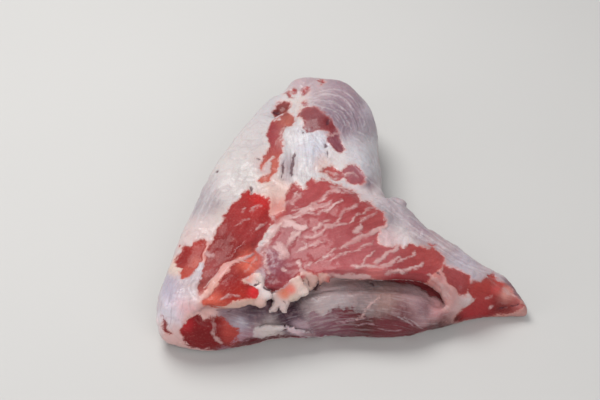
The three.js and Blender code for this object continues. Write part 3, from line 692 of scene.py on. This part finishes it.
# The studio, in metres. Each light: name, place, what it points at, size, power, tint.
LIGHTS = [
    ("key", (-0.45, 0.45, 1.2), (0, 0, 0.03), 0.8, 13.5, (1.0, 0.99, 0.97)),
    ("fill", (0.4, -1.3, 0.9), (0, 0, 0.03), 1.2, 8.5, (1.0, 0.99, 0.98)),
    ("side", (-1.1, -0.7, 0.5), (-0.05, -0.05, 0.02), 0.9, 3.0, (1.0, 0.99, 0.98)),
]
SKY_COLOUR = (0.97, 0.97, 1.0, 1.0)
SKY_STRENGTH = 0.36
FLOOR_HALF = 3.0
FLOOR_DROP = 0.0004
FLOOR_COLOUR = (214, 213, 211)
FLOOR_SHADE = (150, 150, 150)

rng = np.random.default_rng(SEED)


def smoothstep(t):
    t = np.clip(t, 0.0, 1.0)
    return t * t * (3.0 - 2.0 * t)


def smooth_max(a, b, blend):
    h = np.clip(0.5 + 0.5 * (a - b) / blend, 0.0, 1.0)
    return b + (a - b) * h + blend * h * (1.0 - h)


def smooth_rows(rows, closed, steps):
    """Rows of numbers joined by a Catmull-Rom spline through every column."""
    rows = np.array(rows, float)
    n = len(rows)
    out = []
    for i in range(n if closed else n - 1):
        if closed:
            p0, p1, p2, p3 = (rows[(i + k) % n] for k in (-1, 0, 1, 2))
        else:
            p0, p1, p2, p3 = (rows[min(max(i + k, 0), n - 1)] for k in (-1, 0, 1, 2))
        for t in np.arange(steps) / steps:
            bend = (2 * p0 - 5 * p1 + 4 * p2 - p3) * t * t + (3 * p1 - p0 - 3 * p2 + p3) * t ** 3
            out.append(0.5 * (2 * p1 + (p2 - p0) * t + bend))
    if not closed:
        out.append(rows[-1])
    return np.array(out)


def nearest(points, path, closed):
    """For points in plan: distance to the path, its values and the share of it there, and the side."""
    ends = np.roll(path, -1, 0) if closed else path[1:]
    starts = path if closed else path[:-1]
    distance = np.full(len(points), 1e9)
    values = np.zeros((len(points), path.shape[1]))
    share = np.zeros(len(points))
    side = np.zeros(len(points))
    for i, (p, q) in enumerate(zip(starts, ends)):
        d = q[:2] - p[:2]
        t = np.clip(((points - p[:2]) @ d) / max(d @ d, 1e-9), 0.0, 1.0)
        off = points - (p[:2] + t[:, None] * d)
        away = np.hypot(off[:, 0], off[:, 1])
        near = away < distance
        distance[near] = away[near]
        values[near] = (p + t[:, None] * (q - p))[near]
        share[near] = ((i + t) / len(starts))[near]
        side[near] = (d[0] * off[:, 1] - d[1] * off[:, 0])[near]
    return distance, values, share, side


def is_inside(points, path):
    x, y = points[:, 0], points[:, 1]
    odd = np.zeros(len(points), bool)
    for p, q in zip(path, np.roll(path, -1, 0)):
        if p[1] == q[1]:
            continue
        crosses = (p[1] > y) != (q[1] > y)
        odd ^= crosses & (x < p[0] + (y - p[1]) / (q[1] - p[1]) * (q[0] - p[0]))
    return odd


class Noise:
    """Smooth seeded noise on a lattice, about -1 to 1."""

    def __init__(self):
        self.table = rng.permutation(512)
        gradients = rng.normal(size=(512, 3))
        self.gradients = gradients / np.linalg.norm(gradients, axis=1)[:, None]

    def once(self, points):
        cell = np.floor(points).astype(int)
        part = points - cell
        fade = part ** 3 * (part * (part * 6 - 15) + 10)
        total = np.zeros(len(points))
        for corner in np.ndindex(2, 2, 2):
            at = cell + corner
            index = self.table[at[:, 0] % 512]
            index = self.table[(index + at[:, 1]) % 512]
            index = self.table[(index + at[:, 2]) % 512]
            weight = np.prod(np.where(corner, fade, 1 - fade), axis=1)
            total += weight * (self.gradients[index] * (part - corner)).sum(1)
        return 1.7 * total

    def __call__(self, points, size, octaves=3):
        total = np.zeros(len(points))
        for octave in range(octaves):
            total += self.once(points * 2 ** octave / size + 17.3 * octave) / 2 ** octave
        return total


torn = Noise()


def top_height(points):
    total = np.zeros(len(points))
    weights = np.full(len(points), 1e-12)
    for x, y, height in TOPS:
        weight = np.exp(-((points[:, 0] - x) ** 2 + (points[:, 1] - y) ** 2) / (2 * BLEND ** 2))
        total += weight * height
        weights += weight
    return total / weights


def near_slice(axes, points, reach):
    """The part of the grid within reach of some points, and its coordinates."""
    where = []
    coordinates = []
    for i, axis in enumerate(axes):
        values = [p[i] for p in points]
        first, last = np.searchsorted(axis, [min(values) - reach, max(values) + reach])
        where.append(slice(first, last))
        shape = [1, 1, 1]
        shape[i] = -1
        coordinates.append(axis[first:last].reshape(shape))
    return tuple(where), coordinates


def along_segment(coordinates, p, q):
    """Share of the way from p to q nearest to each grid point, and the distance squared."""
    d = q - p
    t = sum((c - p[i]) * d[i] for i, c in enumerate(coordinates)) / max(d @ d, 1e-9)
    t = np.clip(t, 0.0, 1.0)
    return t, sum((c - p[i] - t * d[i]) ** 2 for i, c in enumerate(coordinates))


def body_field(plan, zs):
    """The rounded body and the hollow under its lip, for columns in plan and heights: negative inside."""
    rim = smooth_rows(RIM, True, OUTLINE_STEPS)
    lip = smooth_rows(LIP, False, OUTLINE_STEPS)
    distance, values, _, _ = nearest(plan, rim, True)
    depth = np.where(is_inside(plan, rim), distance, -distance)
    widest, above, below = values[:, 2], values[:, 3], values[:, 4]
    distance, values, _, side = nearest(plan, lip, False)
    roll, reach, strength = values[:, 2], values[:, 3], values[:, 4]
    behind = np.where(side > 0, distance, -distance)
    top = top_height(plan)
    ledge = np.minimum(roll, top)
    share = 1 - (1 - smoothstep(behind / LIP_STEP + 0.5)) * strength
    height = ledge + (top - ledge) * share
    z = zs[None, :]
    rise = np.maximum(height - widest, 4.0)
    upper = z >= widest[:, None]
    lift = np.where(upper, (z - widest[:, None]) / rise[:, None], (widest[:, None] - z) / widest[:, None])
    nearness = [np.maximum(0, 1 - depth / roundness)[:, None] for roundness in (above, below)]
    across = np.where(upper, *nearness)
    size = np.where(upper, np.minimum(above, rise)[:, None], np.minimum(below, widest)[:, None])
    body = (np.hypot(across, lift) - 1) * size
    across = np.maximum(np.abs(behind - (reach - 4) / 2) - reach / 2, 0)[:, None]
    radius = HOLLOW_RADIUS + HOLLOW_GROWTH * reach - HOLLOW_FADE * (1 - strength)
    hollow = np.hypot(across, z - roll[:, None] - HOLLOW_RISE) - radius[:, None]
    return smooth_max(body, -hollow, HOLLOW_BLEND), hollow


def add_swells(values, axes):
    for x, y, z, radius, rise in SWELLS:
        where, (gx, gy, gz) = near_slice(axes, [(x, y, z)], 3 * radius)
        away = (gx - x) ** 2 + (gy - y) ** 2 + (gz - z) ** 2
        values[where] -= rise * np.exp(-away / (2 * radius ** 2))


def cut_seams(values, axes):
    for depth, width, points in SEAMS:
        where, coordinates = near_slice(axes, points, 3 * width)
        path = smooth_rows(points, False, SEAM_STEPS)
        deepest = 0.0
        for i, (p, q) in enumerate(zip(path[:-1], path[1:])):
            t, away = along_segment(coordinates, p, q)
            along = (i + t) / (len(path) - 1)
            taper = np.minimum(1, SEAM_TAPER * np.minimum(along, 1 - along))
            deepest = np.maximum(deepest, taper * np.exp(-away / width ** 2))
        values[where] += depth * deepest


def add_strands(values, axes):
    for rows in STRANDS:
        where, coordinates = near_slice(axes, rows, STRAND_REACH)
        path = smooth_rows(rows, False, PATH_STEPS)
        for p, q in zip(path[:-1], path[1:]):
            t, away = along_segment(coordinates, p[:3], q[:3])
            strand = np.sqrt(away) - (p[3] + t * (q[3] - p[3]))
            values[where] = -smooth_max(-values[where], -strand, STRAND_BLEND)


def flake_distance(points, thickness, upper, lower, outline):
    """The distance to a torn flake, in millimetres: negative inside."""
    forward = layout_axes()[2]
    ends = np.array([(0, *upper), (0, *lower)], float)
    pixels = layout_pixels(points)
    tear = FLAKE_TEAR * np.stack([torn(points + 40 * k, 3.0, 2) for k in range(2)], -1)
    plane = np.interp(pixels[:, 1], layout_pixels(ends)[:, 1], (ends - layout_eye()) @ forward)
    sheet = np.abs((points - layout_eye()) @ forward - plane) - thickness / 2
    return smooth_max(sheet, -outline_depth(pixels + tear, outline) / PIXELS_PER_MM, FLAKE_BLEND)


def add_flakes(values, axes):
    for thickness, upper, lower, outline in FLAKES:
        x = (np.mean(outline, axis=0)[0] - LAYOUT_SIZE[0] / 2) / PIXELS_PER_MM + LAYOUT_TARGET[0]
        where, coordinates = near_slice(axes, [(x, *upper), (x, *lower)], FLAKE_REACH)
        points = np.stack(np.broadcast_arrays(*coordinates), -1).reshape(-1, 3)
        flake = flake_distance(points, thickness, upper, lower, outline).reshape(values[where].shape)
        values[where] = -smooth_max(-values[where], -flake, FLAKE_BLEND)


def sample_grid(step):
    """The joint's value and its hollow's value at every point of a grid, and the grid's lowest corner."""
    low = np.array([*GRID_LOW, -step])
    size = np.ceil((np.array(GRID_HIGH) - low) / step).astype(int) + 1
    axes = [low[i] + step * np.arange(size[i]) for i in range(3)]
    plan = np.stack(np.meshgrid(axes[0], axes[1], indexing="ij"), -1).reshape(-1, 2)
    values, hollow = body_field(plan, axes[2])
    values = values.reshape(size)
    add_swells(values, axes)
    cut_seams(values, axes)
    add_strands(values, axes)
    add_flakes(values, axes)
    return np.maximum(values, -axes[2][None, None, :]), hollow.reshape(size), low


def moved(axis, amount):
    """A slice that leaves out the last layer along an axis, or the first where amount is 1."""
    where = [slice(None)] * 3
    where[axis] = slice(1, None) if amount else slice(0, -1)
    return tuple(where)


def surface_net(values, low, step):
    """One vertex in each cell that the surface crosses and one quad across each crossed edge."""
    cells = tuple(n - 1 for n in values.shape)
    total = np.zeros(cells + (3,))
    count = np.zeros(cells)
    for axis in range(3):
        a, b = values[moved(axis, 0)], values[moved(axis, 1)]
        crosses = (a < 0) != (b < 0)
        part = np.where(crosses, a / np.where(crosses, a - b, 1), 0)
        first, second = [i for i in range(3) if i != axis]
        for u, w in np.ndindex(2, 2):
            c = crosses[moved(first, u)][moved(second, w)]
            total[..., axis] += part[moved(first, u)][moved(second, w)]
            total[..., first] += c * u
            total[..., second] += c * w
            count += c
    used = count > 0
    index = np.full(cells, -1)
    index[used] = np.arange(used.sum())
    vertices = low + step * (np.argwhere(used) + total[used] / count[used][:, None])
    quads = []
    for axis in range(3):
        inner = values[moved(axis, 0)] < 0
        first, second = [(1, 2), (2, 0), (0, 1)][axis]
        at = np.argwhere(inner != (values[moved(axis, 1)] < 0))
        at = at[(at[:, first] > 0) & (at[:, second] > 0)]
        corners = []
        for u, w in ((0, 0), (1, 0), (1, 1), (0, 1)):
            corner = at.copy()
            corner[:, first] -= u
            corner[:, second] -= w
            corners.append(index[tuple(corner.T)])
        quad = np.stack(corners, 1)
        outward = inner[tuple(at.T)]
        quad[~outward] = quad[~outward][:, ::-1]
        quads.append(quad)
    return vertices, np.concatenate(quads)


def neighbours_mean(vertices, quads):
    total = np.zeros_like(vertices)
    count = np.zeros(len(vertices))
    for i in range(4):
        for a, b in ((quads[:, i], quads[:, i - 1]), (quads[:, i - 1], quads[:, i])):
            for k in range(3):
                total[:, k] += np.bincount(a, vertices[b, k], len(vertices))
            count += np.bincount(a, minlength=len(vertices))
    return total / np.maximum(count, 1)[:, None]


def relaxed(vertices, quads, rounds):
    """The net with its grid steps evened out, its base kept flat."""
    base = vertices[:, 2] < 1e-6
    for i in range(rounds):
        for amount in (0.5, -0.52):
            vertices = vertices + amount * (neighbours_mean(vertices, quads) - vertices)
        vertices[base, 2] = 0.0
    vertices[:, 2] = np.maximum(vertices[:, 2], 0.0)
    return vertices


def vertex_normals(vertices, quads):
    a, b, c, d = (vertices[quads[:, i]] for i in range(4))
    face = np.cross(c - a, d - b)
    total = np.zeros_like(vertices)
    for i in range(4):
        for k in range(3):
            total[:, k] += np.bincount(quads[:, i], face[:, k], len(vertices))
    return total / np.maximum(np.linalg.norm(total, axis=1), 1e-12)[:, None]


def layout_axes():
    sine, cosine = math.sin(LAYOUT_ELEVATION), math.cos(LAYOUT_ELEVATION)
    return np.array([1.0, 0, 0]), np.array([0, sine, cosine]), np.array([0, cosine, -sine])


def layout_eye():
    return np.array(LAYOUT_TARGET) - LAYOUT_DISTANCE * layout_axes()[2]


def layout_pixels(points):
    right, up, forward = layout_axes()
    off = points - layout_eye()
    scale = LENS / SENSOR * LAYOUT_SIZE[0] / (off @ forward)
    x = LAYOUT_SIZE[0] / 2 + scale * (off @ right)
    y = LAYOUT_SIZE[1] / 2 - scale * (off @ up)
    return np.stack([x, y], -1)


def outline_depth(pixels, outline):
    """How far inside an outline each pixel lies: negative outside."""
    path = np.array(outline, float)
    distance = nearest(pixels, path, True)[0]
    return np.where(is_inside(pixels, path), distance, -distance)


def stroke_depth(pixels, rows):
    """How far inside the widest of some strokes each pixel lies."""
    best = np.full(len(pixels), -9.0)
    for width, points in rows:
        distance, _, share, _ = nearest(pixels, smooth_rows(points, False, PATH_STEPS), False)
        taper = np.minimum(1, 0.35 + 4 * np.minimum(share, 1 - share))
        best = np.maximum(best, width / 2 * taper - distance)
    return best


def linear(colour):
    """An sRGB colour of 0 to 255 as linear values."""
    c = np.array(colour, float) / 255
    return np.where(c <= 0.04045, c / 12.92, ((c + 0.055) / 1.055) ** 2.4)


def base_colour(srgb):
    """The base colour, as linear values, that looks like an sRGB colour in the studio."""
    return np.maximum(linear(srgb) - SHEEN, 0.004) / LIT


def blended_tones(pixels, tones):
    total = np.zeros((len(pixels), 3))
    weights = np.full(len(pixels), 1e-9)
    for _, x, y, reach, tone in tones:
        away = (pixels[:, 0] - x) ** 2 + (pixels[:, 1] - y) ** 2
        weight = np.exp(-away / (2 * reach ** 2)) + 1e-7 / (1 + away)
        total += weight[:, None] * base_colour(tone)
        weights += weight
    return total / weights[:, None]


def deepest(pixels, outlines):
    """How far inside the nearest of some outlines each pixel lies: negative outside all of them."""
    best = np.full(len(pixels), -9.0)
    for outline in outlines.values():
        best = np.maximum(best, outline_depth(pixels, outline))
    return np.minimum(best, 6.0)


def mixed(a, b, share):
    return a + (b - a) * share[:, None]


def below_lip(vertices):
    """Share of the front below the lip at each vertex."""
    distance, values, _, side = nearest(vertices[:, :2], smooth_rows(LIP, False, OUTLINE_STEPS), False)
    roll, reach, strength = values[:, 2], values[:, 3], values[:, 4]
    before = smoothstep((reach + 8 - np.where(side > 0, distance, -distance)) / 3)
    beneath = smoothstep((roll + HOLLOW_RISE + 1 - vertices[:, 2]) / 2 + 0.5)
    return beneath * before * smoothstep(strength * 2)


def fibre_coordinates(pixels):
    """Place along and across the nearest guide, and the guide's number."""
    best = np.full(len(pixels), 1e9)
    out = np.zeros((len(pixels), 3))
    for number, points in enumerate(GUIDES):
        path = smooth_rows(points, False, 4)
        length = np.hypot(*np.diff(path, axis=0).T).sum()
        distance, _, share, side = nearest(pixels, path, False)
        near = distance < best
        best[near] = distance[near]
        signed = np.where(side > 0, distance, -distance)
        out[near] = np.stack([share * length, signed, np.full(len(pixels), 40.0 * number)], -1)[near]
    return out


class Value:
    """A number in a material, with arithmetic."""

    def __init__(self, graph, socket):
        self.graph = graph
        self.socket = socket

    def math(self, operation, *inputs):
        node = self.graph.node("ShaderNodeMath", dict(enumerate(inputs)), operation=operation)
        return Value(self.graph, node.outputs[0])

    def __add__(self, other):
        return self.math("ADD", self, other)

    def __radd__(self, other):
        return self.math("ADD", other, self)

    def __sub__(self, other):
        return self.math("SUBTRACT", self, other)

    def __rsub__(self, other):
        return self.math("SUBTRACT", other, self)

    def __mul__(self, other):
        return self.math("MULTIPLY", self, other)

    def __rmul__(self, other):
        return self.math("MULTIPLY", other, self)

    def step(self, low, high, to_low=0.0, to_high=1.0):
        """A smooth step between two values."""
        inputs = {"Value": self, "From Min": low, "From Max": high, "To Min": to_low, "To Max": to_high}
        node = self.graph.node("ShaderNodeMapRange", inputs, interpolation_type="SMOOTHSTEP")
        return Value(self.graph, node.outputs[0])


class Graph:
    """A material's node tree."""

    def __init__(self, name):
        self.material = bpy.data.materials.new(name)
        self.material.use_nodes = True
        self.tree = self.material.node_tree
        self.tree.nodes.clear()

    def node(self, kind, inputs=None, **settings):
        node = self.tree.nodes.new(kind)
        for key, value in settings.items():
            setattr(node, key, value)
        for key, value in (inputs or {}).items():
            if isinstance(value, Value):
                self.tree.links.new(value.socket, node.inputs[key])
            elif isinstance(value, bpy.types.NodeSocket):
                self.tree.links.new(value, node.inputs[key])
            else:
                node.inputs[key].default_value = value
        return node

    def attribute(self, name, output="Fac"):
        node = self.node("ShaderNodeAttribute", attribute_name=name)
        return Value(self, node.outputs[output]) if output == "Fac" else node.outputs[output]

    def scaled(self, vector, scale):
        inputs = {0: vector, 1: scale}
        return self.node("ShaderNodeVectorMath", inputs, operation="MULTIPLY").outputs[0]

    def noise(self, vector, scale, detail=3.0, roughness=0.5):
        inputs = {"Vector": vector, "Scale": scale, "Detail": detail, "Roughness": roughness}
        return Value(self, self.node("ShaderNodeTexNoise", inputs).outputs["Fac"])

    def mix(self, factor, a, b, blend="MIX"):
        node = self.node("ShaderNodeMix", {0: factor, 6: a, 7: b}, data_type="RGBA", blend_type=blend)
        return node.outputs[2]


def colour(srgb):
    return (*base_colour(srgb), 1.0)


def layered(g, base, layers):
    """The base colour with each layer over it: share, sRGB colour and, where it isn't MIX, the blend."""
    for share, srgb, *blend in layers:
        base = g.mix(share, base, colour(srgb), *blend)
    return base


def meat_noises(g):
    """Broad, middle, speck and fine noise, then wide strands and thin threads along the fibres."""
    place = g.node("ShaderNodeTexCoord").outputs["Object"]
    fibres = g.attribute("fibres", "Vector")
    broad, mid, fine = (g.noise(place, scale) for scale in (BROAD_SCALE, MID_SCALE, FINE_SCALE))
    specks = g.noise(place, SPECK_SCALE, 1.0)
    strands = g.noise(g.scaled(fibres, STRAND_STRETCH), 1.0, 4.0, 0.6)
    threads = g.noise(g.scaled(fibres, THREAD_STRETCH), 1.0, 3.0, 0.55)
    return broad, mid, specks, fine, strands, threads


def lean_colours(g, noises, rim, grain):
    broad, mid, specks, fine, strands, threads = noises
    vein = threads.step(0.62, 0.72) * mid.step(0.45, 0.6) * (0.30 - grain * 0.16)
    return layered(g, g.attribute("lean_tone", "Color"), [
        (broad.step(0.4, 0.65) * 0.22, LEAN_SHADE, "MULTIPLY"),
        (strands.step(0.42, 0.62) * 0.16, DARK_FIBRE),
        (vein, VEIN_COLOUR),
        # Pale specks: partly marbling, partly painted glints, more where the lean is cut across the grain.
        (specks.step(0.56, 0.74) * (0.05 + grain * 0.11), PALE_SPECK_AND_GLINT),
        (fine.step(0.56, 0.72) * (0.12 + grain * 0.14), DARK_GRAIN),
        (rim * 0.22, LEAN_RIM),
    ])


def fat_colours(g, noises, rim, film, thread_and_glint):
    broad, mid, specks, fine, strands, threads = noises
    return layered(g, g.attribute("fat_tone", "Color"), [
        (mid.step(0.44, 0.66) * 0.16, FAT_PINK),
        (film * strands.step(0.50, 0.64) * 0.26, FILM_PALE),
        (film * (1.0 - strands).step(0.52, 0.66) * 0.28, FILM_DARK),
        (specks.step(0.64, 0.74) * 0.16, FAT_SPECK),
        (g.attribute("fold").step(0.3, 1.0) * 0.18, FOLD_SHADE),
        (rim * (0.38 - film * 0.32), FAT_RIM),
        (thread_and_glint * 0.40, THREAD_AND_GLINT_COLOUR),
    ])


def meat_material():
    g = Graph("raw_meat")
    noises = meat_noises(g)
    broad, mid, specks, fine, strands, threads = noises
    film, grain, plain_rim = (g.attribute(name) for name in ("film", "grain", "plain_rim"))

    edge = (mid - 0.5) * 4.4
    lean = g.attribute("lean") + edge + (fine - 0.5) * 2.6 + (threads - 0.5) * 2.8
    patchy = strands.step(0.44, 0.60) * plain_rim + mid.step(0.42, 0.62) * (1.0 - plain_rim) * 0.6
    veil = film * (1.0 - grain) * patchy * 0.8
    lean_share = lean.step(-0.8, 0.9) * (1.0 - veil)
    rim = (lean.step(-2.6, -0.2) - lean.step(0.2, 2.4)) * (1.0 - plain_rim)
    stroke = g.attribute("stroke") + edge + (threads - 0.5) * 3.2 + (fine - 0.5) * 2.0
    stroke_share = stroke.step(-1.5, 1.1) * (0.50 + broad.step(0.35, 0.6) * 0.4) * (1.0 - grain * 0.25)
    slit_and_shade_share = (g.attribute("slit_and_shade") + (mid - 0.5) * 2.0).step(-0.6, 0.8)
    thread_and_glint_share = (g.attribute("thread_and_glint") + (fine - 0.5) * 1.4 + (mid - 0.5) * 1.6).step(-0.6, 0.7)

    fat_colour = fat_colours(g, noises, rim, film, thread_and_glint_share)
    base = g.mix(lean_share, fat_colour, lean_colours(g, noises, rim, grain))
    # Over the whole: threads with painted highlight streaks, fat strokes with two painted glints, then slits
    # with lines of painted shade.
    base = layered(g, base, [
        (thread_and_glint_share * lean_share * 0.45, THREAD_AND_GLINT_ON_LEAN),
        (stroke_share, STROKE_COLOUR),
        (slit_and_shade_share * 0.85, SLIT_AND_SHADE_COLOUR),
    ])
    roughness = FAT_ROUGHNESS - lean_share * 0.10 - film * 0.10 + (fine - 0.5) * 0.2
    height = threads * 0.35 + mid * 0.9 + specks * 0.5 + fine * 0.6 + stroke_share * 0.5
    height = height - lean_share * 0.6 + thread_and_glint_share * 0.3
    bump = g.node("ShaderNodeBump", {"Height": height, "Strength": 0.6, "Distance": 0.0009})
    shader = g.node("ShaderNodeBsdfPrincipled", {
        "Base Color": base,
        "Roughness": roughness,
        "Normal": bump.outputs[0],
        "IOR": 1.42,
        "Specular IOR Level": 0.26,
        "Subsurface Weight": 0.12,
        "Subsurface Radius": (1.0, 0.35, 0.2),
        "Subsurface Scale": 0.002,
        "Coat Weight": 0.24 - grain * 0.12,
        "Coat Roughness": 0.10,
    })
    g.node("ShaderNodeOutputMaterial", {"Surface": shader.outputs[0]})
    return g.material


def add_attribute(mesh, name, kind, values):
    attribute = mesh.attributes.new(name, kind, "POINT")
    key = {"FLOAT": "value", "FLOAT_VECTOR": "vector", "FLOAT_COLOR": "color"}[kind]
    if kind == "FLOAT_COLOR":
        values = np.concatenate([values, np.ones((len(values), 1))], axis=1)
    attribute.data.foreach_set(key, np.ascontiguousarray(values, np.float32).ravel())


def make_object(name, vertices, quads):
    mesh = bpy.data.meshes.new(name)
    mesh.vertices.add(len(vertices))
    mesh.vertices.foreach_set("co", np.ascontiguousarray(vertices, np.float32).ravel())
    mesh.loops.add(4 * len(quads))
    mesh.loops.foreach_set("vertex_index", quads.astype(np.int32).ravel())
    mesh.polygons.add(len(quads))
    mesh.polygons.foreach_set("loop_start", 4 * np.arange(len(quads), dtype=np.int32))
    mesh.polygons.foreach_set("use_smooth", np.ones(len(quads), bool))
    mesh.update(calc_edges=True)
    made = bpy.data.objects.new(name, mesh)
    bpy.context.scene.collection.objects.link(made)
    return made


def sampled(grid, low, step, points):
    """The value of the grid's nearest point."""
    at = np.rint((points - low) / step).astype(int)
    at = np.clip(at, 0, np.array(grid.shape) - 1)
    return grid[tuple(at.T)]


def joint_net():
    """The joint's vertices and quads, and how far each vertex is from the hollow under the lip."""
    step = FINE_GRID
    values, hollow, low = sample_grid(step)
    vertices, quads = surface_net(values, low, step)
    vertices = relaxed(vertices, quads, RELAX_ROUNDS)
    return vertices, quads, sampled(hollow, low, step, vertices)


def seen_share(vertices, normals):
    """How well the layout's view sees each vertex."""
    toward = layout_eye() - vertices
    toward /= np.linalg.norm(toward, axis=1)[:, None]
    return smoothstep((normals * toward).sum(1) / 0.25 + 0.2)


def flake_share(vertices):
    nearest_flake = np.full(len(vertices), 9.0)
    for row in FLAKES:
        nearest_flake = np.minimum(nearest_flake, flake_distance(vertices, *row))
    return smoothstep(1.4 - nearest_flake)


def lean_depth(pixels, seen, front, flake, ragged):
    """How far inside the lean each vertex lies. Unseen sides get ragged patches."""
    lean = (1 - front) * deepest(pixels, LEAN) + front * FRONT_EDGE * deepest(pixels, FRONT_LEAN)
    lean = np.clip(lean * (1 - flake) - LEAN_CAP * flake, -LEAN_CAP, LEAN_CAP)
    unseen = np.clip(UNSEEN_LEAN_GAIN * ragged - UNSEEN_LEAN_CUT, -LEAN_CAP, LEAN_CAP)
    return seen * lean + (1 - seen) * unseen


def meat_tones(pixels, uneven, seen, front, flake):
    """Colours of the lean and of the fat at each vertex."""
    lean = mixed(base_colour(UNSEEN_LEAN), blended_tones(uneven, LEAN_TONES), seen)
    fat = mixed(blended_tones(uneven, FAT_TONES), blended_tones(uneven, FRONT_TONES), front)
    fat = mixed(fat, blended_tones(pixels, FLAKE_TONES), flake)
    return lean, mixed(base_colour(UNSEEN_FAT), fat, seen)


def meat_marks(vertices, normals, hollow, noise, ragged):
    """What lies where on the meat, by the name of the attribute that holds it."""
    warp = np.stack([ragged(vertices + 100 * k, WANDER_SIZE, 3) for k in range(2)], -1)
    pixels = layout_pixels(vertices)
    uneven = pixels + WANDER * warp
    seen = seen_share(vertices, normals)
    flake = flake_share(vertices)
    front = below_lip(vertices)
    hidden = HIDDEN_CUT * (1 - seen)
    lean_tone, fat_tone = meat_tones(pixels, uneven, seen, front, flake)
    # Painted shade: colours are darkened by HOLLOW_SHADE in the hollow under the lip, on faces that don't
    # face up.
    under = smoothstep(1 - hollow / 3.0) * smoothstep(0.6 - normals[:, 2])
    dark = (1 - HOLLOW_SHADE * under)[:, None]
    grainy = {name: LEAN[name] for name in GRAINY}
    folds = 1 - np.minimum(1, np.abs(noise(vertices + 60, FOLD_SIZE, 2)) * FOLD_SHARPNESS)
    film = seen * smoothstep(deepest(uneven, FILMS) / 6 + 0.5) * (1 - 0.4 * flake) * (1 - 0.4 * front)
    return {
        "lean": lean_depth(uneven, seen, front, flake, ragged(vertices, UNSEEN_LEAN_SIZE, 3)),
        "stroke": stroke_depth(uneven, STROKES) - hidden,
        "slit_and_shade": stroke_depth(uneven, SLITS_AND_SHADE_LINES) - hidden,
        "thread_and_glint": stroke_depth(pixels + THREAD_WANDER * warp, THREADS_AND_GLINTS) - hidden,
        "film": film,
        "grain": seen * smoothstep(deepest(uneven, grainy) / 4 + 0.5),
        "fold": folds * (1 - flake) * (1 - front),
        "plain_rim": np.maximum(front, flake),
        "flake": flake,
        "fibres": fibre_coordinates(pixels),
        "lean_tone": lean_tone * dark,
        "fat_tone": fat_tone * dark,
    }


def relief_height(vertices, marks, noise):
    """How far the surface rises above the smooth net at each vertex, in millimetres."""
    soft_lean = smoothstep(marks["lean"] / 2.2 + 0.5)
    fibres = marks["fibres"] * (0.05, 0.45, 1.0)
    relief = FAT_RISE * (1 - soft_lean)
    relief += STROKE_RISE * smoothstep(marks["stroke"] / 2 + 0.5)
    relief -= SLIT_DEPTH * smoothstep(marks["slit_and_shade"] / 2 + 0.6)
    relief += THREAD_RISE * smoothstep(marks["thread_and_glint"] / 2 + 0.5)
    relief += (FIBRE_RISE + FILM_FIBRE_RISE * marks["film"]) * noise(fibres, 1.0, 3)
    relief += LUMP_RISE * noise(vertices, LUMP_SIZE, 3)
    relief += FLAKE_LUMP_RISE * marks["flake"] * noise(vertices + 30, FLAKE_LUMP_SIZE, 2)
    relief -= FOLD_DEPTH * marks["fold"] * (1 - soft_lean)
    return relief * smoothstep(vertices[:, 2] / FLAT_FOOT)


def make_joint():
    vertices, quads, hollow = joint_net()
    normals = vertex_normals(vertices, quads)
    noise = Noise()
    ragged = Noise()
    marks = meat_marks(vertices, normals, hollow, noise, ragged)
    vertices = vertices + relief_height(vertices, marks, noise)[:, None] * normals

    joint = make_object("meat_surface", (vertices - np.array(MIDDLE)) * MM, quads)
    for kind, names in ATTRIBUTES.items():
        for name in names:
            add_attribute(joint.data, name, kind, marks[name])
    joint.data.materials.append(meat_material())
    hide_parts("meat_joint")
    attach(joint, "root")


def floor_material():
    g = Graph("studio_floor")
    shade = g.noise(g.node("ShaderNodeTexCoord").outputs["Object"], 6.0)
    base = g.mix(shade * 0.05, colour(FLOOR_COLOUR), colour(FLOOR_SHADE))
    shader = g.node("ShaderNodeBsdfPrincipled", {"Base Color": base, "Roughness": 0.8})
    g.node("ShaderNodeOutputMaterial", {"Surface": shader.outputs[0]})
    return g.material


def make_floor():
    corners = [(x * FLOOR_HALF, y * FLOOR_HALF, 0) for x, y in ((-1, -1), (1, -1), (1, 1), (-1, 1))]
    floor = make_object("floor", np.array(corners), np.array([[0, 1, 2, 3]]))
    floor.location.z = -FLOOR_DROP
    floor.data.materials.append(floor_material())


def add_light(name, place, target, size, power, tint):
    light = bpy.data.lights.new(name, "AREA")
    light.shape = "DISK"
    light.size = size
    light.energy = power
    light.color = tint
    lamp = bpy.data.objects.new(name, light)
    direction = Vector(target) - Vector(place)
    lamp.location = place
    lamp.rotation_euler = direction.to_track_quat("-Z", "Y").to_euler()
    bpy.context.scene.collection.objects.link(lamp)


def make_lights():
    for row in LIGHTS:
        add_light(*row)
    world = bpy.data.worlds.new("studio")
    world.use_nodes = True
    background = world.node_tree.nodes["Background"]
    background.inputs["Color"].default_value = SKY_COLOUR
    background.inputs["Strength"].default_value = SKY_STRENGTH
    bpy.context.scene.world = world


def make_camera():
    right, up, forward = layout_axes()
    eye = (layout_eye() - np.array(MIDDLE)) * MM
    camera = bpy.data.cameras.new("camera")
    camera.lens = LENS
    camera.sensor_width = SENSOR
    camera.sensor_fit = "HORIZONTAL"
    made = bpy.data.objects.new("camera", camera)
    turn = Matrix([right, up, -forward]).transposed().to_4x4()
    made.matrix_world = Matrix.Translation(Vector(eye)) @ turn
    bpy.context.scene.collection.objects.link(made)
    bpy.context.scene.camera = made


make_joint()
make_floor()
make_lights()
make_camera()
bpy.context.scene.view_settings.view_transform = "Standard"
